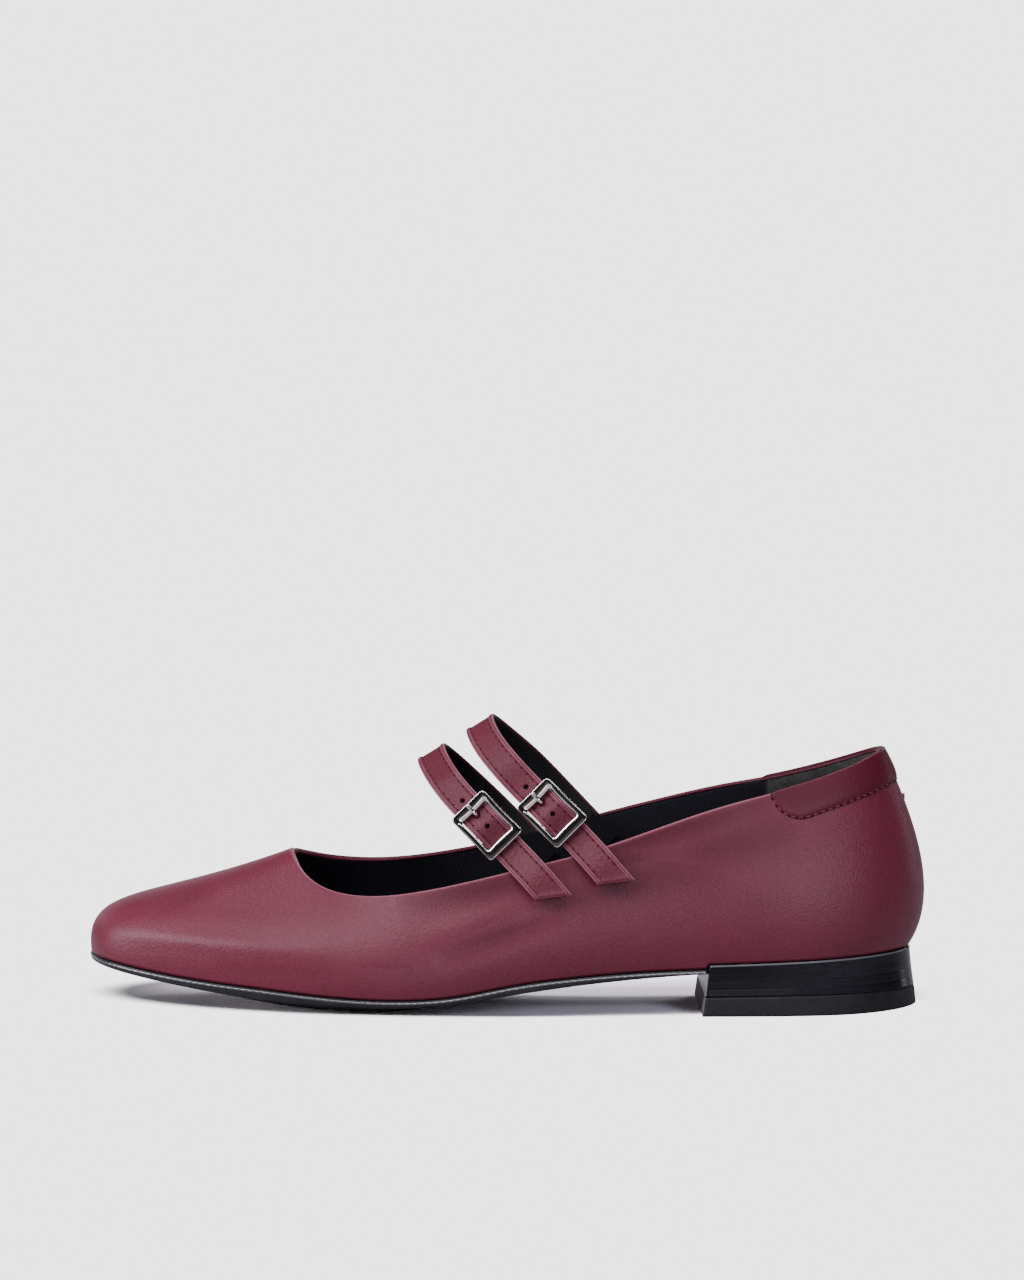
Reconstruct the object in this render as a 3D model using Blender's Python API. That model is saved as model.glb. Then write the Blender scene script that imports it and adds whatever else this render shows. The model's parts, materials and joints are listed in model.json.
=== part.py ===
"""Mary jane shoe for the left foot: a low slip-on with two buckled instep straps on a low block heel.

Frame: X runs from the toe (-X) to the heel (+X), Y from the outer side of the foot (-Y) to the inner
side (+Y), and Z up from the floor. The tables are in millimetres and the meshes in metres.

The upper is an annular wall. A rib runs up it at each row of RIBS, from the feather line, where the
leather meets the sole, to the topline, the edge of the foot opening. Every leather piece is worked
out from that one surface, and the sole, heel and insole from its feather line.
"""

import math
from collections import namedtuple

import bmesh
import bpy
import numpy as np
from mathutils import Vector

MM = 0.001
CENTRE_SHIFT = (0.25, 0.25, 0.0)  # puts the middle of the shoe's box over the origin

GAP = 0.3  # between touching pieces
WALL = 1.8  # upper leather with its lining
TOPLINE_ROUND = 0.4  # rise of the topline's rounded edge
TOE_PROJECTION = 0.1  # outsole beyond the feather line at the toe
SOLE_PROJECTION = 0.7  # and from there on
SOLE_PROJECTION_RUN = 16.0
SOLE_EDGE_BEVEL = 0.5
TREAD_ROUND = 1.15  # 1 is a flat slope from the edge to the middle, 2 a round one
TREAD_LOOPS = (0.35, 0.68)  # shares of the way from the sole's edge to its middle
OUTSOLE_SPINE_INSETS = (13.0, 14.0)  # the middle line stops this far from toe and heel
INSOLE_SPINE_INSETS = (14.0, 16.0)
SPINE_EVENNESS = 0.15  # 0 sets its points level with the edge's columns, 1 spreads them evenly
INSOLE_THICKNESS = 2.2
INSOLE_CLEARANCE = 0.5
INSOLE_BED = 0.4  # insole above the outsole

HEEL_BREAST_X = 61.7  # top of the heel's front face
HEEL_STEP = 1.4  # how far the feather line rises on to the heel's rim
HEEL_STEP_X = (59.9, 60.9)
HEEL_RISE_X = (50.0, 72.0)  # the ribs take the rise gently and only their lowest edge steps
SEAT_RISE_X = (61.0, 75.0)
HEEL_LIP = 0.3  # heel beyond the feather line
HEEL_RIM = 2.0  # width of the rim round the heel seat
HEEL_SOLE_GAP = 1.25  # outsole's full width ends this far before the heel
HEEL_COLUMN_GAP = 1.0  # columns nearer than this to the heel's front are left out
RIM_BEVEL = (0.25, 0.3)  # across and down
RIM_DROP = 0.05  # rim below the line that the upper's edge follows
RIM_DRAFT = 0.1  # each level of the heel's recessed front and rim lies this much further in
SEAT_CLEARANCE = 0.65  # heel seat below the outsole's lower edge
HEEL_CENTRE_X = 96.0
HEEL_FLARE_X = 0.078  # growth of the heel's outline towards the floor
HEEL_FLARE_Y = 0.012
HEEL_TOP_Z = 18.7
LIFT_LINE_FRONT = 5.9  # height of the joint between heel block and lift
LIFT_LINE_SLOPE = 0.012
LIFT_FLAT_END_X = 97.0  # behind this the lift curves up off the floor
LIFT_REAR_RISE = 0.9
LIFT_BACK_X = 126.0
LIFT_EDGE_BEVEL = 0.5

PATCH_FRONT_X = 79.6  # collar patch: its front edge on the topline
PATCH_DEPTH = 9.7
PATCH_FRONT_DEPTH = 3.2
PATCH_CORNER = 8.0
PATCH_INSIDE_DEPTH = 6.0
PATCH_THICKNESS = 0.6
PATCH_INSIDE_SLACK = 0.15
PATCH_OVER_TOP = 0.45  # patch above the topline
PATCH_EDGE_RISE = 0.7  # share of that height reached over each face of the wall
PATCH_CREST = 0.35
PATCH_END_COLUMNS = np.array([0.0, 0.8, 1.8])
PATCH_COLUMN_GAP = 2.6

STRAP_WIDTH = 9.6
STRAP_THICKNESS = 1.5
STRAP_CHAMFER = 0.45
STRAP_LEAN = 31.5  # degrees that the strap's width rises towards the heel
STRAP_TIP_SLANT = 0.66  # advance of the slanted tip per millimetre of width
STRAP_TIP_RUN = 14.0  # length over which the strap's end turns to that slant
STRAP_STEP = 2.6

BUCKLE_LENGTH = 17.8
BUCKLE_WIDTH = 13.4
WINDOW_LENGTH = 12.2
WINDOW_WIDTH = 10.3
WINDOW_CORNER = 0.9
WINDOW_BEVEL = 0.3
BUCKLE_THICKNESS = 1.4
BUCKLE_BEVEL = 0.5
BUCKLE_CORNER = 2.6
BUCKLE_CREST = (0.3, 0.85)  # flat face, as shares of the way from the rim to the window
BAR_RADIUS = 0.5  # hidden centre bar
BAR_DEPTH = 2.7  # centre bar below the middle of the frame
BAR_TURN = 0.9  # radius of its bends
STRAP_UNDER_FRAME = 1.98  # middle of the strap below the middle of the frame at the end bars
STRAP_OVER_BAR = 1.9  # rise of the strap over the centre bar
STRAP_WAVE_SPAN = 7.0
STRAP_DIP_REACH = 24.0  # the strap starts down towards the frame this far from its middle
STRAP_DIP_RUN = 12.0
PRONG_RADIUS = 0.45
SLOT_CENTRE = -4.9
SLOT_LENGTH = 3.0
SLOT_WIDTH = 2.0
SLOT_DEPTHS = (-6.0, 3.0)

ANCHOR_WIDTH = 9.0
ANCHOR_LAYER = 0.7  # one layer of the leather looped round the centre bar
ANCHOR_NOTCH = 2.6  # width of the opening for the prong
NOTCH_ALONG = (-5.0, 2.4)
NOTCH_DEPTHS = (-6.5, 1.0)

Rib = namedtuple("Rib", "foot_x foot_y top_x top_y top_z low_out low_up high_back high_out high_up")
# From the toe along the outer side to the heel, then along the inner side back to the toe.
# low_out and low_up place the rib's lower handle from its foot, outwards and up. high_back places
# the upper handle from its top as a share of the way to its foot, high_out and high_up from there.
RIBS = [
    Rib(-128.7, 3.5, -66.7, 2.5, 48.5, 2.4, 20.0, 0.72, 0.0, 5.9),
    Rib(-127.2, -7.0, -66.5, -1.5, 48.4, 2.4, 19.6, 0.72, 0.0, 5.9),
    Rib(-122.0, -16.5, -66.0, -5.0, 47.8, 2.4, 18.3, 0.70, 0.2, 6.2),
    Rib(-111.5, -24.0, -65.2, -8.6, 46.7, 2.4, 17.0, 0.66, 0.6, 7.0),
    Rib(-96.0, -30.2, -64.0, -12.2, 44.8, 2.6, 15.5, 0.60, 1.0, 7.0),
    Rib(-76.0, -35.4, -61.0, -17.0, 41.5, 2.8, 14.5, 0.52, 1.6, 6.0),
    Rib(-56.0, -38.0, -53.5, -22.8, 37.7, 3.0, 13.0, 0.42, 2.4, 3.6),
    Rib(-36.0, -38.4, -40.0, -27.4, 36.3, 3.0, 12.0, 0.32, 2.4, 0.8),
    Rib(-16.0, -36.6, -21.0, -29.6, 38.8, 3.2, 12.0, 0.30, 2.2, 0.0),
    Rib(6.0, -33.8, 4.0, -30.0, 44.6, 3.8, 12.0, 0.30, 1.8, 0.0),
    Rib(30.0, -31.2, 27.0, -29.0, 50.5, 4.2, 12.0, 0.30, 1.8, 0.0),
    Rib(54.0, -29.3, 50.0, -27.3, 58.3, 4.4, 13.0, 0.30, 2.0, 0.0),
    Rib(80.0, -28.4, 70.0, -25.2, 64.5, 4.8, 14.0, 0.30, 2.4, 0.0),
    Rib(101.0, -25.0, 87.0, -21.2, 68.8, 6.0, 15.0, 0.30, 3.4, 0.0),
    Rib(115.0, -17.3, 104.6, -15.9, 74.5, 8.4, 16.0, 0.30, 4.6, 0.0),
    Rib(121.8, -8.2, 113.9, -8.2, 78.5, 10.6, 16.6, 0.29, 5.4, 0.0),
    Rib(123.8, 0.0, 115.7, 0.0, 79.3, 11.4, 16.8, 0.29, 5.7, 0.0),
    Rib(121.8, 8.2, 113.9, 8.2, 78.7, 10.6, 16.6, 0.29, 5.4, 0.0),
    Rib(115.0, 17.3, 104.6, 15.9, 75.3, 8.4, 16.0, 0.30, 4.6, 0.0),
    Rib(101.0, 25.0, 87.0, 21.2, 70.3, 6.0, 15.0, 0.30, 3.2, 0.0),
    Rib(80.0, 27.6, 70.0, 24.8, 66.8, 4.8, 14.0, 0.30, 2.4, 0.0),
    Rib(54.0, 26.4, 50.0, 25.9, 62.3, 4.6, 13.0, 0.30, 1.8, 0.0),
    Rib(30.0, 24.8, 27.0, 26.4, 56.3, 4.8, 13.0, 0.30, 1.8, 0.0),
    Rib(6.0, 26.4, 4.0, 26.8, 49.9, 4.6, 13.0, 0.30, 1.8, 0.0),
    Rib(-16.0, 31.5, -21.0, 26.8, 45.0, 4.2, 13.0, 0.30, 2.2, 0.0),
    Rib(-36.0, 36.0, -40.0, 25.0, 43.4, 3.6, 13.0, 0.34, 2.4, 1.2),
    Rib(-56.0, 38.0, -54.0, 21.6, 44.4, 3.2, 13.5, 0.42, 2.4, 4.0),
    Rib(-76.0, 37.2, -61.0, 17.2, 46.0, 2.8, 14.5, 0.52, 1.6, 6.0),
    Rib(-96.0, 33.2, -64.6, 13.0, 47.2, 2.6, 15.5, 0.60, 1.0, 7.0),
    Rib(-111.5, 28.0, -65.9, 10.2, 47.7, 2.4, 17.0, 0.66, 0.6, 7.0),
    Rib(-122.0, 21.5, -66.3, 7.8, 47.8, 2.4, 18.3, 0.70, 0.2, 6.2),
    Rib(-127.2, 13.5, -66.6, 5.2, 48.2, 2.4, 19.6, 0.72, 0.0, 5.9),
]

SoleLine = namedtuple("SoleLine", "x feather edge keel")
# Heights along the shoe: the feather line, the outsole's lower edge and its underside in the
# middle. Where keel is below the floor the tread is cut flat by it.
SOLE_LINE = [
    SoleLine(-129.0, 16.9, 14.9, 14.2),
    SoleLine(-115.0, 14.4, 12.2, 10.6),
    SoleLine(-95.0, 11.4, 8.8, 5.8),
    SoleLine(-75.0, 9.2, 6.1, 0.6),
    SoleLine(-55.0, 7.0, 4.6, -2.2),
    SoleLine(-32.0, 5.8, 3.8, -2.2),
    SoleLine(-16.0, 6.7, 4.6, 1.4),
    SoleLine(0.0, 9.5, 6.9, 5.4),
    SoleLine(20.0, 12.0, 9.6, 8.8),
    SoleLine(45.0, 13.7, 12.0, 11.6),
    SoleLine(61.0, 14.2, 13.0, 12.9),
    SoleLine(85.0, 15.0, 14.0, 14.0),
    SoleLine(107.0, 16.1, 15.1, 15.1),
    SoleLine(128.0, 17.6, 16.6, 16.6),
]

PathRow = namedtuple("PathRow", "place x y z")
# The middle line of each strap, from its hidden end inside the inner wall, over the instep, through
# the buckle and down to its tip on the outer wall.
STRAP_PATHS = {
    "front": [
        PathRow("hidden end", 13.2, 21.2, 41.0),
        PathRow("inner topline", 6.6, 22.2, 48.2),
        PathRow("inner side", -3.8, 22.2, 59.0),
        PathRow("inner side", -12.8, 17.2, 68.0),
        PathRow("inner shoulder", -19.2, 11.0, 74.3),
        PathRow("instep", -23.3, 1.5, 77.9),
        PathRow("outer shoulder", -20.8, -11.0, 73.1),
        PathRow("outer side", -16.7, -19.5, 68.3),
        PathRow("above buckle", -12.0, -24.6, 63.6),
        PathRow("buckle", -6.2, -27.4, 57.8),
        PathRow("below buckle", -0.2, -30.0, 51.8),
        PathRow("outer topline", 4.8, -32.6, 46.8),
        PathRow("tail", 9.5, -34.5, 41.9),
        PathRow("tip", 13.9, -36.0, 36.9),
    ],
    "rear": [
        PathRow("hidden end", 32.6, 21.6, 46.4),
        PathRow("inner topline", 26.0, 22.6, 53.4),
        PathRow("inner side", 16.0, 22.8, 64.0),
        PathRow("inner side", 5.8, 18.8, 74.6),
        PathRow("inner shoulder", -3.0, 12.0, 82.6),
        PathRow("instep", -8.2, 1.5, 87.0),
        PathRow("outer shoulder", -6.6, -10.0, 82.9),
        PathRow("outer side", -0.4, -19.6, 75.4),
        PathRow("above buckle", 7.4, -25.3, 67.6),
        PathRow("buckle", 13.5, -27.9, 61.6),
        PathRow("below buckle", 19.6, -30.2, 55.7),
        PathRow("outer topline", 24.2, -32.3, 51.0),
        PathRow("tail", 28.8, -33.7, 45.9),
        PathRow("tip", 32.8, -34.8, 41.3),
    ],
}

AnchorRow = namedtuple("AnchorRow", "along height")
# The anchor's middle line in its buckle's own plane, from the centre bar down inside the outer wall.
ANCHOR_PATHS = {
    "front": [
        AnchorRow(2.6, -3.6),
        AnchorRow(6.0, -4.5),
        AnchorRow(10.0, -5.6),
        AnchorRow(15.0, -6.4),
        AnchorRow(20.0, -6.4),
        AnchorRow(25.0, -5.9),
    ],
    "rear": [
        AnchorRow(2.6, -3.6),
        AnchorRow(6.0, -4.9),
        AnchorRow(10.0, -6.2),
        AnchorRow(14.0, -6.9),
        AnchorRow(18.0, -7.1),
        AnchorRow(23.0, -6.9),
    ],
}

ProngRow = namedtuple("ProngRow", "along height")
# The prong's middle line in the buckle's plane: hooked round the centre bar, up through the slot in
# the strap and over the end bar.
PRONG_REST = [
    ProngRow(-2.9, -3.3),
    ProngRow(-4.1, -2.4),
    ProngRow(-4.7, -0.9),
    ProngRow(-5.1, 0.5),
    ProngRow(-6.0, 1.5),
    ProngRow(-7.5, 1.7),
    ProngRow(-9.3, 1.4),
]

BURGUNDY = (0.145, 0.022, 0.036)
BLACK = (0.010, 0.010, 0.011)
LINING_BLACK = (0.014, 0.014, 0.016)
NICKEL = (0.62, 0.60, 0.57)

RIB_STEPS = 3  # mesh columns for each rib
OUTER_HEIGHTS = (0.0, 0.06, 0.13, 0.21, 0.30, 0.40, 0.52, 0.65, 0.78, 0.89, 1.0)
INNER_HEIGHTS = (0.0, 0.08, 0.17, 0.28, 0.42, 0.60, 0.80, 1.0)


def spline(knots, values, period=None):
    """A smooth cubic curve through the values at the knots, closed where it has a period."""
    knots = np.asarray(knots, float)
    values = np.asarray(values, float)
    count = len(knots)
    if period is None:
        ends = np.append(knots[1:], knots[-1] + 1.0)
    else:
        ends = np.append(knots[1:], knots[0] + period)
    step = ends - knots
    slope = (np.roll(values, -1, axis=0) - values) / step[:, None]
    system = np.eye(count)
    right = np.zeros_like(values)
    for i in range(count):
        if period is None and i in (0, count - 1):
            continue
        system[i] = 0.0
        system[i, i] = 2.0 * (step[i - 1] + step[i])
        system[i, i - 1] += step[i - 1]
        system[i, (i + 1) % count] += step[i]
        right[i] = 6.0 * (slope[i] - slope[i - 1])
    bend = np.linalg.solve(system, right)

    def at(places):
        places = np.atleast_1d(np.asarray(places, float))
        if period is not None:
            places = knots[0] + (places - knots[0]) % period
        last = count - 2 if period is None else count - 1
        i = np.clip(np.searchsorted(knots, places, side="right") - 1, 0, last)
        j = (i + 1) % count
        h = step[i][:, None]
        a = (places - knots[i])[:, None]
        b = h - a
        curve = (bend[i] * b**3 + bend[j] * a**3) / (6.0 * h)
        return curve + (values[i] / h - bend[i] * h / 6.0) * b + (values[j] / h - bend[j] * h / 6.0) * a

    return at


def unit(vectors):
    return vectors / np.linalg.norm(vectors, axis=-1, keepdims=True)


def smooth_step(places):
    k = np.clip(places, 0.0, 1.0)
    return k * k * (3.0 - 2.0 * k)


def chord_knots(points):
    """Distance along a list of points at each of them, and round the whole loop."""
    lengths = np.linalg.norm(np.roll(points, -1, axis=0) - points, axis=1)
    knots = np.concatenate([[0.0], np.cumsum(lengths)])
    return knots[:-1], knots[-1]


# The shoe's surface

RIB_ROWS = np.array(RIBS)
RIB_KNOTS, PERIMETER = chord_knots(RIB_ROWS[:, :2])
RIB_CURVE = spline(RIB_KNOTS, RIB_ROWS, PERIMETER)
SOLE_ROWS = np.array(SOLE_LINE)
SOLE_CURVE = spline(SOLE_ROWS[:, 0], SOLE_ROWS[:, 1:])
HALF = len(RIBS) // 2
HEEL_PLACE = RIB_KNOTS[HALF]


def feather_height(x, run=HEEL_STEP_X):
    """Height of the feather line, with its rise on to the heel between two places along the shoe."""
    start, end = run
    return SOLE_CURVE(x)[:, 0] + HEEL_STEP * smooth_step((x - start) / (end - start))


def seat_height(x):
    """Top of the outsole."""
    return feather_height(x, SEAT_RISE_X)


def foot_line(places):
    """Feather line in plan and its outward direction."""
    foot = RIB_CURVE(places)[:, :2]
    ahead = RIB_CURVE(np.asarray(places) + 0.2)[:, :2] - RIB_CURVE(np.asarray(places) - 0.2)[:, :2]
    ahead = unit(ahead)
    outward = np.stack([ahead[:, 1], -ahead[:, 0]], axis=1)
    return foot, outward


def rib_points(places, heights):
    """Outer surface: one row of points for each place round the shoe, from sole to topline."""
    places = np.asarray(places, float)
    row = RIB_CURVE(places)
    foot_xy, outward = foot_line(places)
    foot = np.column_stack([foot_xy, feather_height(foot_xy[:, 0], HEEL_RISE_X) + GAP])
    top = row[:, 2:5]
    out = np.column_stack([outward, np.zeros(len(places))])
    up = np.array([0.0, 0.0, 1.0])
    low = foot + out * row[:, 5:6] + up * row[:, 6:7]
    high = top + (foot - top) * row[:, 7:8] + out * row[:, 8:9] + up * row[:, 9:10]
    s = np.asarray(heights, float)[None, :, None]
    r = 1.0 - s
    foot, low, high, top = (p[:, None, :] for p in (foot, low, high, top))
    return r**3 * foot + 3 * r**2 * s * low + 3 * r * s**2 * high + s**3 * top


def rib_normals(places, heights):
    """Outward direction of the surface at the same points."""
    places = np.asarray(places, float)
    heights = np.asarray(heights, float)
    reach = 0.4
    rise = 0.01
    across = rib_points(places + reach, heights) - rib_points(places - reach, heights)
    upward = rib_points(places, np.minimum(heights + rise, 1.0)) - rib_points(
        places, np.maximum(heights - rise, 0.0)
    )
    return unit(np.cross(across, upward))


def wall_profile(places, heights, depth):
    """The surface moved inwards by depth, with its lowest edge on the sole and the heel's rim."""
    moved = rib_points(places, heights) - rib_normals(places, heights) * depth
    moved[:, 0, 2] = feather_height(RIB_CURVE(places)[:, 0]) + GAP
    return moved


def column_places():
    """Places of the mesh columns: the same number between each two ribs, and at the heel's step."""
    ends = np.append(RIB_KNOTS, PERIMETER)
    places = [place_at_x(x, inner) for x in HEEL_STEP_X for inner in (False, True)]
    for i in range(len(RIBS)):
        places.extend(np.linspace(ends[i], ends[i + 1], RIB_STEPS, endpoint=False))
    return np.sort(places)


def place_at_x(x, inner):
    """Place on the feather line where it passes x, on the outer or the inner side."""
    start, end = (HEEL_PLACE, PERIMETER) if inner else (0.0, HEEL_PLACE)
    places = np.linspace(start, end, 2000)
    along = RIB_CURVE(places)[:, 0]
    if inner:
        return float(np.interp(-x, -along, places))
    return float(np.interp(x, along, places))


def place_at_top_x(x, inner):
    """Place whose rib ends on the topline at x."""
    start, end = (HEEL_PLACE, PERIMETER) if inner else (0.0, HEEL_PLACE)
    places = np.linspace(start, end, 2000)
    along = RIB_CURVE(places)[:, 2]
    if inner:
        return float(np.interp(-x, -along, places))
    return float(np.interp(x, along, places))


# Meshes


def material(name, colour, roughness, metallic=0.0):
    made = bpy.data.materials.get(name)
    if made is None:
        made = bpy.data.materials.new(name)
        made.use_nodes = True
        shader = made.node_tree.nodes["Principled BSDF"]
        shader.inputs["Base Color"].default_value = (*colour, 1.0)
        shader.inputs["Roughness"].default_value = roughness
        shader.inputs["Metallic"].default_value = metallic
    return made


def new_object(name, vertices, faces, surface):
    """A closed mesh object, its faces turned outwards."""
    mesh = bpy.data.meshes.new(name)
    moved = (np.asarray(vertices) + np.array(CENTRE_SHIFT)) * MM
    mesh.from_pydata([Vector(v) for v in moved], [], faces)
    work = bmesh.new()
    work.from_mesh(mesh)
    bmesh.ops.recalc_face_normals(work, faces=work.faces)
    if work.calc_volume(signed=True) < 0.0:
        bmesh.ops.reverse_faces(work, faces=work.faces)
    work.to_mesh(mesh)
    work.free()
    mesh.shade_smooth()
    mesh.set_sharp_from_angle(angle=math.radians(35))
    obj = bpy.data.objects.new(name, mesh)
    bpy.context.scene.collection.objects.link(obj)
    obj.data.materials.append(surface)
    return obj


def ring_faces(rings, points, closed):
    """Quads between neighbouring rings of a grid whose rings are closed loops of points."""
    faces = []
    for i in range(rings if closed else rings - 1):
        j = (i + 1) % rings
        for k in range(points):
            m = (k + 1) % points
            faces.append((i * points + k, j * points + k, j * points + m, i * points + m))
    return faces


def tube(name, loops, surface):
    """A solid swept through closed loops of points, with flat ends."""
    rings, points = loops.shape[:2]
    faces = ring_faces(rings, points, closed=False)
    faces.append(tuple(range(points)))
    faces.append(tuple(range((rings - 1) * points, rings * points)))
    return new_object(name, loops.reshape(-1, 3), faces, surface)


def hoop(name, loops, surface):
    """A closed ring of loops."""
    rings, points = loops.shape[:2]
    return new_object(name, loops.reshape(-1, 3), ring_faces(rings, points, closed=True), surface)


def rung_faces(start, count):
    """Strips across a loop that is the same on both sides of the shoe."""
    faces = []
    for i in range((count - 1) // 2):
        other = count - 1 - i
        ring = (start + i, start + i + 1, start + other - 1, start + other)
        faces.append(tuple(dict.fromkeys(ring)))
    return faces


def spine_faces(start, spine_start, count):
    """Faces from a loop round the shoe to the spine along its middle."""
    half = count // 2
    faces = []
    for i in range(count):
        j = (i + 1) % count
        near = spine_start + min(i, count - i)
        far = spine_start + min(j, count - j) if j <= half or i >= half else spine_start + half
        ring = (start + i, start + j, far, near)
        faces.append(tuple(dict.fromkeys(ring)))
    return faces


def plate(name, loops, top_spine, bottom_spine, surface):
    """A solid whose loops run from the top's inside over the edge to the bottom's inside."""
    rings, points = loops.shape[:2]
    faces = ring_faces(rings, points, closed=False)
    top_start = rings * points
    bottom_start = top_start + len(top_spine)
    faces += spine_faces(0, top_start, points)
    faces += spine_faces((rings - 1) * points, bottom_start, points)
    vertices = np.concatenate([loops.reshape(-1, 3), top_spine, bottom_spine])
    return new_object(name, vertices, faces, surface)


# Upper


def make_upper(surface):
    """The hollow leather wall, open at the foot opening and under the foot."""
    places = column_places()
    outer = wall_profile(places, OUTER_HEIGHTS, 0.0)
    inner = wall_profile(places, INNER_HEIGHTS, WALL)[:, ::-1]
    crown = (outer[:, -1:] + inner[:, :1]) / 2
    crown[:, :, 2] += TOPLINE_ROUND
    return hoop("upper", np.concatenate([outer, crown, inner], axis=1), surface)


def patch_depths(places):
    """Depth of the collar patch below the topline, rounded off at its two front corners."""
    start, end = place_at_top_x(PATCH_FRONT_X, False), place_at_top_x(PATCH_FRONT_X, True)
    top = RIB_CURVE(places)[:, 2:4]
    fronts = RIB_CURVE([start, end])[:, 2:4]
    away = np.minimum(*(np.linalg.norm(top - front, axis=1) for front in fronts))
    inside = np.clip(PATCH_CORNER - away, 0.0, PATCH_CORNER)
    rounded = np.sqrt(PATCH_CORNER**2 - inside**2)
    fade = PATCH_DEPTH - PATCH_FRONT_DEPTH
    return PATCH_FRONT_DEPTH + fade * rounded / PATCH_CORNER


def height_below_top(places, depths):
    """Share of each rib's height that lies depths below the topline."""
    shares = np.linspace(0.4, 1.0, 121)
    z = rib_points(places, shares)[:, :, 2]
    found = [np.interp(top - depth, row, shares) for row, depth, top in zip(z, depths, z[:, -1])]
    return np.array(found)


def sheet_at(place, shares, depth):
    points = rib_points([place], shares)[0]
    return points - rib_normals([place], shares)[0] * depth


def make_collar_patch(surface):
    """Leather wrapped over the topline round the heel, standing a little off the wall."""
    start, end = place_at_top_x(PATCH_FRONT_X, False), place_at_top_x(PATCH_FRONT_X, True)
    columns = column_places()
    columns = columns[(columns > start + PATCH_COLUMN_GAP) & (columns < end - PATCH_COLUMN_GAP)]
    places = np.concatenate([start + PATCH_END_COLUMNS, columns, end - PATCH_END_COLUMNS[::-1]])
    lower = height_below_top(places, patch_depths(places))
    inside = height_below_top(places, np.full(len(places), PATCH_INSIDE_DEPTH))
    loops = []
    for place, low, deep in zip(places, lower, inside):
        out_shares = np.linspace(low, 1.0, 5)
        in_shares = np.linspace(1.0, deep, 3)
        path = []
        for off in (GAP, GAP + PATCH_THICKNESS):
            out = sheet_at(place, out_shares, -off)
            back = sheet_at(place, in_shares, WALL + off + PATCH_INSIDE_SLACK)
            rise = (off + PATCH_OVER_TOP) * PATCH_EDGE_RISE
            out_top, in_top = out[-1] + [0.0, 0.0, rise], back[0] + [0.0, 0.0, rise]
            crest = (out_top + in_top) / 2 + [0.0, 0.0, PATCH_CREST]
            path.append(np.concatenate([out[:-1], [out_top, crest, in_top], back[1:]]))
        loops.append(np.concatenate([path[0], path[1][::-1]]))
    return tube("heel_collar_patch", np.array(loops), surface)


# Sole, heel and insole


def outline(places, offset):
    foot, outward = foot_line(places)
    return foot + outward * np.asarray(offset, float).reshape(-1, 1)


def spine_for(places, front_inset, rear_inset):
    """Middle line of a sole in plan, with a point for each column of the outer side."""
    toe, heel = RIB_ROWS[0, :2], RIB_ROWS[HALF, :2]
    start, end = toe[0] + front_inset, heel[0] - rear_inset
    count = len(places) // 2 + 1
    level = np.clip(RIB_CURVE(places[:count])[:, 0], start, end)
    x = level + (np.linspace(start, end, count) - level) * SPINE_EVENNESS
    return np.column_stack([x, np.interp(x, [start, end], [toe[1], heel[1]])])


def sole_projection(place):
    run = (RIB_CURVE(place)[0, 0] - RIBS[0].foot_x) / SOLE_PROJECTION_RUN
    return TOE_PROJECTION + (SOLE_PROJECTION - TOE_PROJECTION) * float(smooth_step(run))


def sole_columns():
    """Places and offsets of the outsole's edge, which steps in where the heel's rim begins."""
    places = column_places()
    first = place_at_x(HEEL_BREAST_X - HEEL_SOLE_GAP, False)
    last = place_at_x(HEEL_BREAST_X - HEEL_SOLE_GAP, True)
    seat_offset = HEEL_LIP - HEEL_RIM - GAP
    front = places[places < first - HEEL_COLUMN_GAP]
    middle = places[(places > first + HEEL_COLUMN_GAP) & (places < last - HEEL_COLUMN_GAP)]
    back = places[places > last + HEEL_COLUMN_GAP]
    rows = [(p, sole_projection(p)) for p in front]
    rows += [(first, SOLE_PROJECTION), (first, seat_offset)]
    rows += [(p, seat_offset) for p in middle]
    rows += [(last, seat_offset), (last, SOLE_PROJECTION)]
    rows += [(p, sole_projection(p)) for p in back]
    table = np.array(rows)
    return table[:, 0], table[:, 1]


def sole_underside(x, share):
    """Height of the underside, share of the way from the edge (0) to the middle (1)."""
    edge, keel = SOLE_CURVE(x)[:, 1], SOLE_CURVE(x)[:, 2]
    height = edge + (keel - edge) * (1.0 - (1.0 - share) ** TREAD_ROUND)
    return np.maximum(height, 0.0)


def make_outsole(surface):
    """Full-length leather sole: sprung at the toe, rounded across the tread, under the heel's rim."""
    places, offsets = sole_columns()
    spine = spine_for(places, *OUTSOLE_SPINE_INSETS)
    count = len(places)
    inward = np.concatenate([spine, spine[1:-1][::-1]])[:count]
    edge = outline(places, offsets)
    under = outline(places, offsets - SOLE_EDGE_BEVEL)
    half_way = (edge + inward) / 2
    loops = [np.column_stack([flat, seat_height(flat[:, 0])]) for flat in (half_way, edge)]
    edge_low = sole_underside(edge[:, 0], 0.0) + SOLE_EDGE_BEVEL
    loops.append(np.column_stack([edge, edge_low]))
    loops.append(np.column_stack([under, sole_underside(under[:, 0], 0.0)]))
    for share in TREAD_LOOPS:
        flat = under + (inward - under) * share
        loops.append(np.column_stack([flat, sole_underside(flat[:, 0], share)]))
    x = spine[:, 0]
    top_spine = np.column_stack([spine, seat_height(x)])
    bottom_spine = np.column_stack([spine, sole_underside(x, 1.0)])
    return plate("outsole", np.array(loops), top_spine, bottom_spine, surface)


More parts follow.
